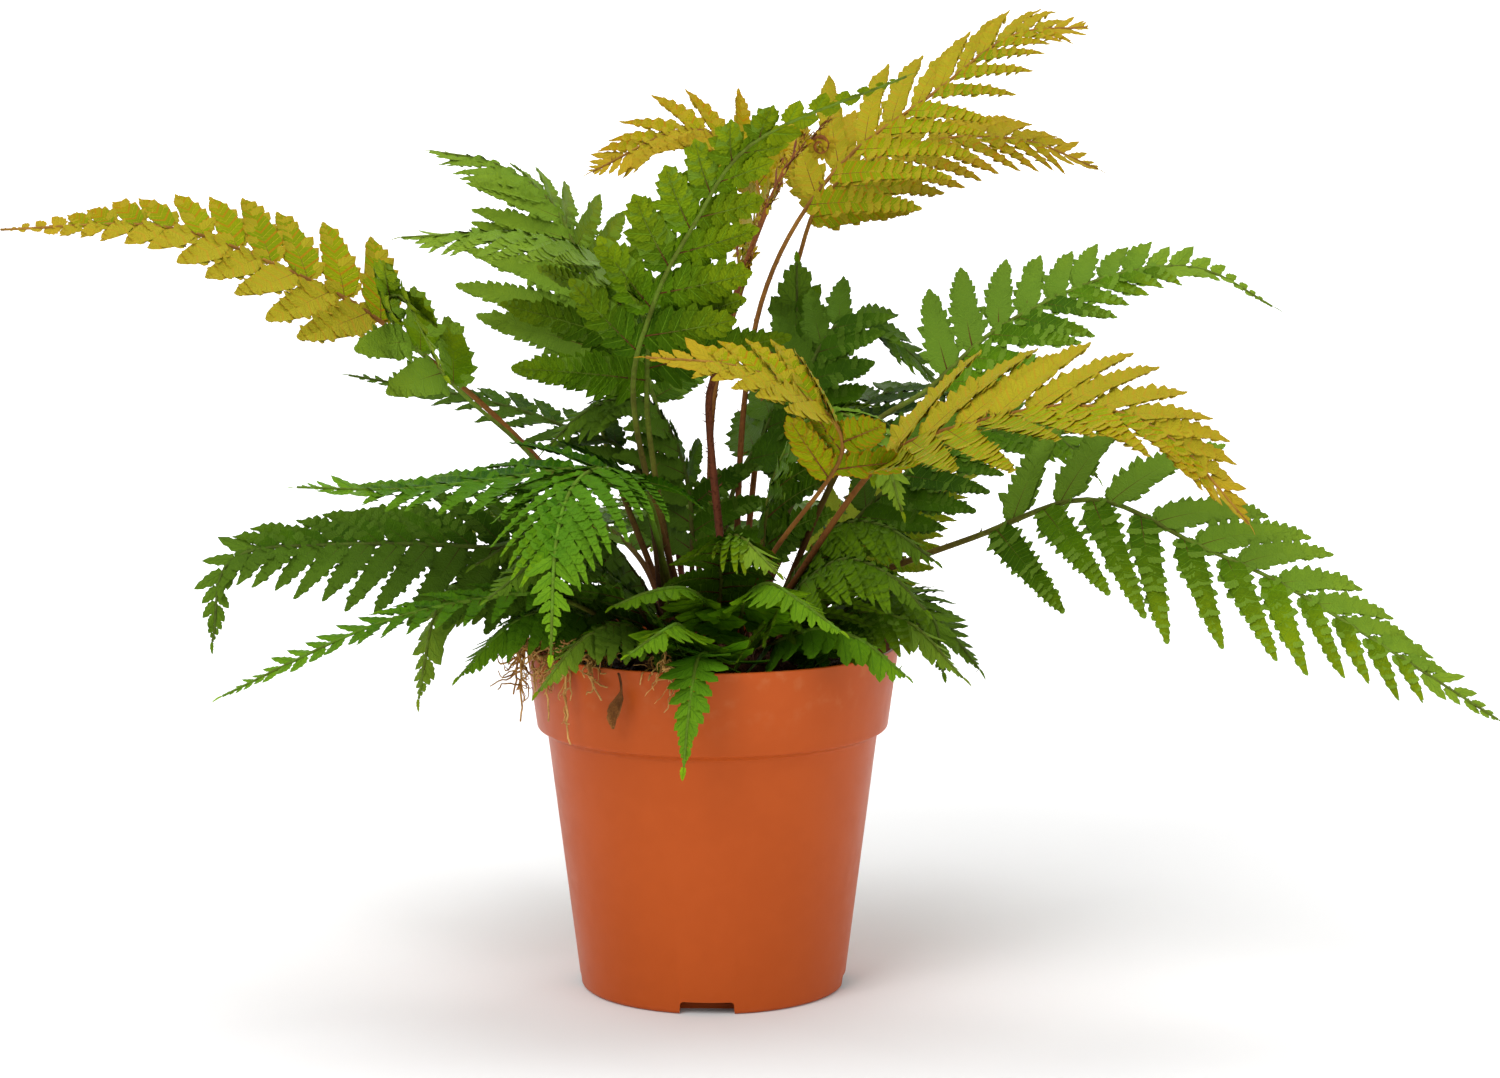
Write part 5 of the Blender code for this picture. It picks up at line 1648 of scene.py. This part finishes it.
def rounded(corner: Flat, start: Flat, end: Flat, radius: float, steps: int = 5) -> list[Flat]:
    """Points that round one corner of a profile between its two neighbours."""
    centre = Vector(corner)
    first = centre + (Vector(start) - centre).normalized() * radius
    last = centre + (Vector(end) - centre).normalized() * radius
    points = []
    for step in range(steps + 1):
        t = step / steps
        point = first * (1 - t) ** 2 + centre * (2 * t * (1 - t)) + last * t ** 2
        points.append((point.x, point.y))
    return points


@dataclass
class Pot:
    """The thin moulded nursery pot with its deep rim band and its drain slots."""

    band_radius: float = 0.0611
    body_radius: float = 0.0576
    base_radius: float = 0.0462
    band_height: float = 0.029
    step_height: float = 0.0018
    wall: float = 0.0015
    floor: float = 0.0018
    drains: int = 4
    drain_front: float = -92.0
    drain_width: float = 0.0185
    drain_height: float = 0.0045
    drain_depth: float = 0.009
    drain_round: float = 0.0012
    drain_flare: float = 0.0004
    steps: int = 160

    def profile(self, ground: Ground) -> list[Flat]:
        """The section from the inner floor, up and over the lip and down to the base."""
        high = ground.rim - self.band_height
        low = high - self.step_height
        wall = self.wall
        inside = [(self.base_radius - wall, self.floor), (self.body_radius - wall, low),
                  (self.band_radius - wall, high), (ground.rim_radius - wall, ground.rim)]
        outside = [(ground.rim_radius, ground.rim), (self.band_radius, high),
                   (self.body_radius, low), (self.base_radius, 0.0)]
        corners = [(0.0, self.floor), *inside, *outside, (0.0, 0.0)]
        radii = [0.002, 0.0008, 0.0008, 0.0006, 0.0006, 0.0007, 0.0010, 0.0018]
        points = [corners[0]]
        for number, radius in enumerate(radii, start=1):
            points += rounded(corners[number], corners[number - 1], corners[number + 1], radius)
        return points + [corners[-1]]

    def slot_cutter(self) -> Piece:
        """One arched block for each drain slot."""
        draft = MeshDraft("slot_cutter")
        half, high, soft = self.drain_width / 2, self.drain_height, self.drain_round
        outline = [(-half - self.drain_flare, -high), (half + self.drain_flare, -high)]
        for sign in (1, -1):
            arc = [(sign * (half - soft + soft * math.cos(angle)), high - soft + soft * math.sin(angle))
                   for angle in (0, math.pi / 6, math.pi / 3, math.pi / 2)]
            outline += arc if sign > 0 else arc[::-1]
        near, far = self.base_radius - self.drain_depth, self.body_radius
        for number in range(self.drains):
            turn = Matrix.Rotation(math.radians(self.drain_front + 360 * number / self.drains), 4, "Z")
            ends = [[draft.point(turn @ Vector((reach, across, height)))
                     for across, height in outline] for reach in (near, far)]
            draft.face(tuple(reversed(ends[0])))
            draft.face(tuple(ends[1]))
            draft.ring_faces(ends)
        return draft.build(smooth=False)

    def build(self, ground: Ground, tools: Tools) -> None:
        """Turn the shell, cut its drain slots and dress it."""
        pot = lathe("pot_shell", self.profile(ground), self.steps).build()
        cutter = self.slot_cutter()
        cut = pot.modifiers.new("Drain slots", "BOOLEAN")
        cut.operation = "DIFFERENCE"
        cut.solver = "EXACT"
        cut.object = cutter
        plain_mesh(pot)
        bpy.data.objects.remove(cutter)
        pot.data.set_sharp_from_angle(angle=math.radians(50))
        band_foot = ground.rim - self.band_height
        dress(pot, PLASTIC_FINISH.build(tools.effects, band_foot, ground.rim))
        settle(pot, "terracotta_plastic", "nursery_pot")


@dataclass
class Soil:
    """The potting mix, lumpy on top, with loose crumbs."""

    steps: int = 72
    lump: float = 0.0007
    mound: float = 0.0015
    rings: tuple[float, ...] = (0.0, 0.12, 0.24, 0.36, 0.48, 0.60, 0.72, 0.84, 0.94, 1.0)
    corner: float = 0.010

    def build(self, pot: Pot, ground: Ground, tools: Tools) -> None:
        """Build the root ball inside the pot and strew its crumbs."""
        source = random.Random(11)
        band_foot = ground.rim - pot.band_height
        wall = pot.wall + GAP
        floor = pot.floor + GAP
        low_radius = pot.base_radius - wall
        top_radius = pot.band_radius + (ground.rim_radius - pot.band_radius) * (
            (ground.soil - band_foot) / pot.band_height) - wall
        top = [(top_radius * share, ground.soil + self.mound * (1 - share ** 4)) for share in self.rings]
        profile = top + [(pot.band_radius - wall, band_foot + GAP),
                         (pot.body_radius - wall, band_foot - pot.step_height),
                         (low_radius + 0.0006, 0.009), (low_radius - self.corner, floor),
                         (0.0, floor)]
        draft = lathe("soil_ball", profile, self.steps, "cover")
        for number, place in enumerate(draft.points):
            on_top = place[2] > ground.soil - 0.0002
            draft.values["cover"][number] = 1.0 if on_top else 0.0
            if on_top and math.hypot(place[0], place[1]) < top_radius * 0.97:
                lift = source.uniform(-self.lump, self.lump)
                draft.points[number] = (place[0], place[1], place[2] + lift)
        soil = tools.strew(draft, tools.crumb, SOIL_CRUMBS, SOIL_FINISH.build(tools.effects), 3)
        settle(soil, "potting_mix", "potting_mix")


@dataclass
class Rootstock:
    """The low scaly crown that the stalks rise from, and the stubs of cut stalks.

    Each stub gives its distance from the axis, its bearing and its height, in millimetres.
    """

    steps: int = 48
    dent: float = 0.0011
    stubs: tuple[Corner, ...] = ((5, 20, 13), (21, 262, 7), (22, 145, 9))

    def build(self, tools: Tools) -> None:
        """Build the crown from its CAD node's box, and the stubs on it."""
        source = random.Random(17)
        low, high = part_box("rootstock")
        radius = high.x
        tall = high.z - low.z
        profile = [(0.0, high.z)]
        profile += [(radius * 0.95 * share, high.z) for share in (0.2, 0.4, 0.6, 0.8, 0.95)]
        profile += rounded((radius, high.z), (radius * 0.9, high.z), (radius, low.z), 0.0015, 4)
        profile += [(radius, low.z + tall * 0.5), (radius * 0.94, low.z + tall * 0.2),
                    (radius * 0.9, low.z), (0.0, low.z)]
        draft = lathe("rootstock_crown", profile, self.steps, "cover")
        for number, place in enumerate(draft.points):
            sink = source.uniform(0.0, self.dent)
            draft.points[number] = (place[0] * (1 - sink * 20), place[1] * (1 - sink * 20),
                                    place[2] - (sink if place[2] > low.z + 0.002 else 0.0))
        crown = tools.strew(draft, tools.scale, CROWN_SCALES, ROOTSTOCK_FINISH.build(tools.effects), 4)
        settle(crown, "scaly_rootstock", "rootstock")
        for number, stub in enumerate(self.stubs):
            self.build_stub(number, stub, high.z + GAP, tools)

    def build_stub(self, number: int, stub: Corner, base: float, tools: Tools) -> None:
        """Build what is left of one old stalk.

        Args:
            number: Its place in the table.
            stub: Its row in the table.
            base: The height that it stands at.
            tools: The shared templates, trees and materials.
        """
        reach, bearing, tall = stub
        lean = on_circle(0.15, bearing, 0.0)
        foot = on_circle(reach * MM, bearing, base)
        low = foot + Vector((0, 0, 0.003))
        line = spaced([foot, low, low + (Vector((0, 0, 1)) + lean) * tall * MM], 10)
        draft = MeshDraft(f"old_stalk_stub_{number + 1}", ("share", "cover"))
        draft.tube(line, [0.0014 - 0.0003 * step / 10 for step in range(11)], 9, cover=0.8)
        piece = tools.strew(draft, tools.scale, STUB_SCALES, CROZIER_FINISH.build(tools.effects),
                            70 + number)
        settle(piece, "hairy_stalk", f"old_stalk_{number + 1}")


# ---- dead roots and leaf


@dataclass
class Roots:
    """Dry roots that have crept over the rim, each with its tangle of fine fibres.

    Each strand gives its bearing in degrees, and its drop and its drift along the rim in
    millimetres.
    """

    strands: tuple[Corner, ...] = (
        (186, 16, 3), (196, 24, 2), (204, 12, 4), (214, 20, 2), (222, 27, 3), (231, 10, 4), (256, 7, 5))
    fibres: int = 46
    fibre_steps: int = 8
    rise: float = 2.2
    thick: float = 0.0006
    steps: int = 20

    def route(self, ground: Ground, strand: Corner) -> list[Vector]:
        """One root's line: up from the soil, over the lip and down outside the band."""
        bearing, drop, drift = strand
        deep = (ground.rim - ground.soil) / MM
        turn = math.degrees(drift * MM / ground.rim_radius)
        points = [ground.rim_place(bearing - turn, -16, 1.5 - deep),
                  ground.rim_place(bearing - turn / 2, -8, 0.5 * self.rise),
                  ground.rim_place(bearing, -1, self.rise),
                  ground.rim_place(bearing + turn / 2, 2.5, -1.0),
                  ground.rim_place(bearing + turn, 3.5, -drop / 2),
                  ground.rim_place(bearing + turn * 2, 4.5, -drop)]
        return spaced(through(points, 6), self.steps)

    def fibre(self, ground: Ground, line: list[Vector], source: random.Random) -> list[Vector]:
        """A fine root that leaves the strand and wanders, clear of the pot's wall.

        Args:
            ground: The rim that it keeps clear of.
            line: The strand's line.
            source: What its way is drawn from.

        Returns:
            The fibre's points.
        """
        start = min(source.randrange(3, 18), source.randrange(6, 18))
        point = line[start].copy()
        along = (line[start + 1] - line[start - 1]).normalized()
        heading = (along + scatter(source, 1.1)).normalized()
        step = source.uniform(0.0006, 0.0017)
        least = ground.rim_radius + 0.0008
        points = [point.copy()]
        for _ in range(self.fibre_steps):
            heading = (heading + scatter(source, 0.8) + Vector((0, 0, -0.10))).normalized()
            point = point + heading * step
            flat = math.hypot(point.x, point.y)
            if point.z < ground.rim + 0.0006 and ground.rim_radius - 0.004 < flat < least:
                point.x *= least / flat
                point.y *= least / flat
            points.append(point.copy())
        return points

    def build(self, ground: Ground, tools: Tools) -> None:
        """Build each root with its fibres."""
        material = ROOT_FINISH.build(tools.effects)
        for number, strand in enumerate(self.strands):
            source = random.Random(300 + number)
            draft = MeshDraft(f"root_tangle_{number + 1}", ("share",))
            line = self.route(ground, strand)
            wavy = [point + scatter(source, 0.0005) for point in line]
            draft.tube(wavy, [self.thick * (1 - 0.5 * step / self.steps) for step in range(len(wavy))], 6)
            for _ in range(self.fibres):
                fibre = self.fibre(ground, line, source)
                thick = source.uniform(0.00018, 0.00055)
                draft.tube(fibre, [thick * (1 - 0.06 * step) for step in range(len(fibre))], 4)
            tangle = draft.build()
            dress(tangle, material)
            settle(tangle, "dry_root", f"root_strand_{number + 1}")


@dataclass
class DryLeaf:
    """A shrivelled leaflet that hangs outside the band by a thin stalk."""

    bearing: float = 243.0
    length: float = 0.019
    width: float = 0.0048
    top: float = 0.0005
    rows: int = 18
    columns: int = 8
    stalk_share: float = 0.35
    sway: float = 1.1
    out: float = 2.3
    thickness: float = 0.0003

    def build(self, ground: Ground, tools: Tools) -> None:
        """Build the crumpled sheet with its thickness."""
        source = random.Random(23)
        draft = MeshDraft("withered_leaflet", ("share",))
        slope = math.degrees(self.width / ground.rim_radius)
        rows = []
        for row in range(self.rows + 1):
            down = row / self.rows
            opened = max(0.0, (down - self.stalk_share) / (1 - self.stalk_share))
            narrow = (0.12 + 0.88 * math.sin(math.pi * opened ** 0.8)) * (1 - 0.2 * (row % 2))
            curl = source.uniform(1.2, 3.8)
            points = []
            for column in range(self.columns + 1):
                across = column / self.columns - 0.5
                bearing = self.bearing + slope * across * narrow + self.sway * math.sin(5 * down)
                beyond = (self.out + curl * narrow * (2 * across) ** 2 + 1.5 * down
                          + source.uniform(-0.4, 0.4) * narrow)
                place = ground.rim_place(bearing, beyond, -(self.top + self.length * down) / MM)
                points.append(draft.point(place, share=down))
            rows.append(points)
        for low, high in zip(rows, rows[1:]):
            for column in range(self.columns):
                draft.face((low[column], high[column], high[column + 1], low[column + 1]))
        leaf = draft.build()
        shell = leaf.modifiers.new("Thickness", "SOLIDIFY")
        shell.thickness = self.thickness
        smooth = leaf.modifiers.new("Smooth", "SUBSURF")
        smooth.levels = smooth.render_levels = 1
        plain_mesh(leaf)
        dress(leaf, DRY_LEAF_FINISH.build(tools.effects))
        settle(leaf, "dry_leaf", "dry_leaf")


# ---- studio


@dataclass
class Studio:
    """A pale floor, a white wall far behind, soft lights and the camera."""

    camera_place: Corner = (0.01305, -1.24825, 0.33106)
    camera_tilt: float = 82.07
    camera_lens: float = 87.22
    sensor: float = 36.0
    air: float = 0.5
    glow_near: float = 0.02
    glow_far: float = 0.75
    floor_reach: float = 30.0
    wall_place: float = 6.0
    aim_height: float = 0.18
    # For each light: its name, its place, its size in metres and its power in watts
    lights: tuple[tuple[str, Corner, float, float], ...] = (
        ("key", (-0.8, -1.3, 1.5), 1.0, 22.0),
        ("fill", (1.3, -1.3, 0.7), 1.2, 7.0),
        ("top", (0.1, 0.1, 1.8), 1.0, 15.0))

    def build(self) -> None:
        """Set up the floor, the lights, the world and the camera."""
        self.build_floor()
        self.build_backdrop()
        for light in self.lights:
            self.add_light(*light)
        world = bpy.data.worlds.new("studio_air")
        world.use_nodes = True
        background = world.node_tree.nodes["Background"]
        background.inputs["Color"].default_value = (1.0, 1.0, 1.0, 1.0)
        background.inputs["Strength"].default_value = self.air
        scene = bpy.context.scene
        scene.world = world
        scene.view_settings.view_transform = "Standard"
        scene.view_settings.look = "None"
        data = bpy.data.cameras.new("camera")
        data.lens = self.camera_lens
        data.sensor_width = self.sensor
        camera = bpy.data.objects.new("camera", data)
        camera.location = self.camera_place
        camera.rotation_euler = Euler((math.radians(self.camera_tilt), 0.0, 0.0))
        scene.collection.objects.link(camera)
        scene.camera = camera

    def build_floor(self) -> None:
        """A wide pale floor that glows more the further it lies, so that it stays white: painted light
        far out, and near the pot, where it glows less, a painted soft shadow.
        """
        far = self.floor_reach
        material, wires, shader = self.glowing_white("pale_floor", 1.0)
        away = wires.node("ShaderNodeVectorMath", {"operation": "LENGTH"}, Vector=wires.object_place())
        # Painted light: the floor's own glow rises with distance in place of lamp light, and stays low
        # near the pot as a painted soft shadow.
        glow = wires.remap(away.outputs["Value"], 0.15, 1.1, self.glow_near, self.glow_far)
        wires.feed(shader, "Emission Color", glow)
        self.add_panel("floor", [(-far, -far, 0), (far, -far, 0), (far, far, 0), (-far, far, 0)],
                       material)

    def build_backdrop(self) -> None:
        """A white wall far behind the plant, which closes the view above the floor."""
        back = self.wall_place
        self.add_panel("backdrop", [(-12, back, -0.5), (12, back, -0.5), (12, back, 6), (-12, back, 6)],
                       self.glowing_white("white_wall", 0.9)[0])

    def add_panel(self, name: str, corners: list[Corner], material: Material) -> None:
        """Add a flat four-cornered part of the studio."""
        draft = MeshDraft(name)
        draft.face(tuple(draft.point(Vector(corner)) for corner in corners))
        panel = draft.build()
        dress(panel, material)

    def glowing_white(self, name: str, glow: float) -> tuple[Material, Wires, Node]:
        """A dull white that gives off some light of its own.

        Args:
            name: The material's name.
            glow: How much light it gives off.

        Returns:
            The material, its wires and its shader.
        """
        material, wires, shader = new_material(name)
        for socket, value in (("Base Color", (0.8, 0.8, 0.8, 1.0)), ("Roughness", 0.9),
                              ("Specular IOR Level", 0.0), ("Emission Color", (1.0, 1.0, 1.0, 1.0)),
                              ("Emission Strength", glow)):
            wires.feed(shader, socket, value)
        return material, wires, shader

    def add_light(self, name: str, place: Corner, size: float, power: float) -> None:
        """Add a square soft light that looks at the plant.

        Args:
            name: The light's name.
            place: Where it stands.
            size: The length of its side.
            power: How strong it is, in watts.
        """
        data = bpy.data.lights.new(name, "AREA")
        data.size = size
        data.energy = power
        lamp = bpy.data.objects.new(name, data)
        lamp.location = place
        aim = Vector((0, 0, self.aim_height)) - Vector(place)
        lamp.rotation_euler = aim.to_track_quat("-Z", "Y").to_euler()
        bpy.context.scene.collection.objects.link(lamp)


def main() -> None:
    """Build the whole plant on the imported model."""
    logging.basicConfig(level=logging.INFO, format="%(name)s: %(message)s")
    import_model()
    ground = Ground.from_frame()
    Studio().build()
    tools = Tools.make()
    pot = Pot()
    pot.build(ground, tools)
    Soil().build(pot, ground, tools)
    Rootstock().build(tools)
    for number, frond in enumerate(FRONDS):
        FrondBuilder(frond, ground, number).build(tools)
    for number, crozier in enumerate(CROZIERS):
        CrozierBuilder(crozier, ground, number).build(tools)
    Roots().build(ground, tools)
    DryLeaf().build(ground, tools)
    tools.clear()


if __name__ == "__main__":
    main()
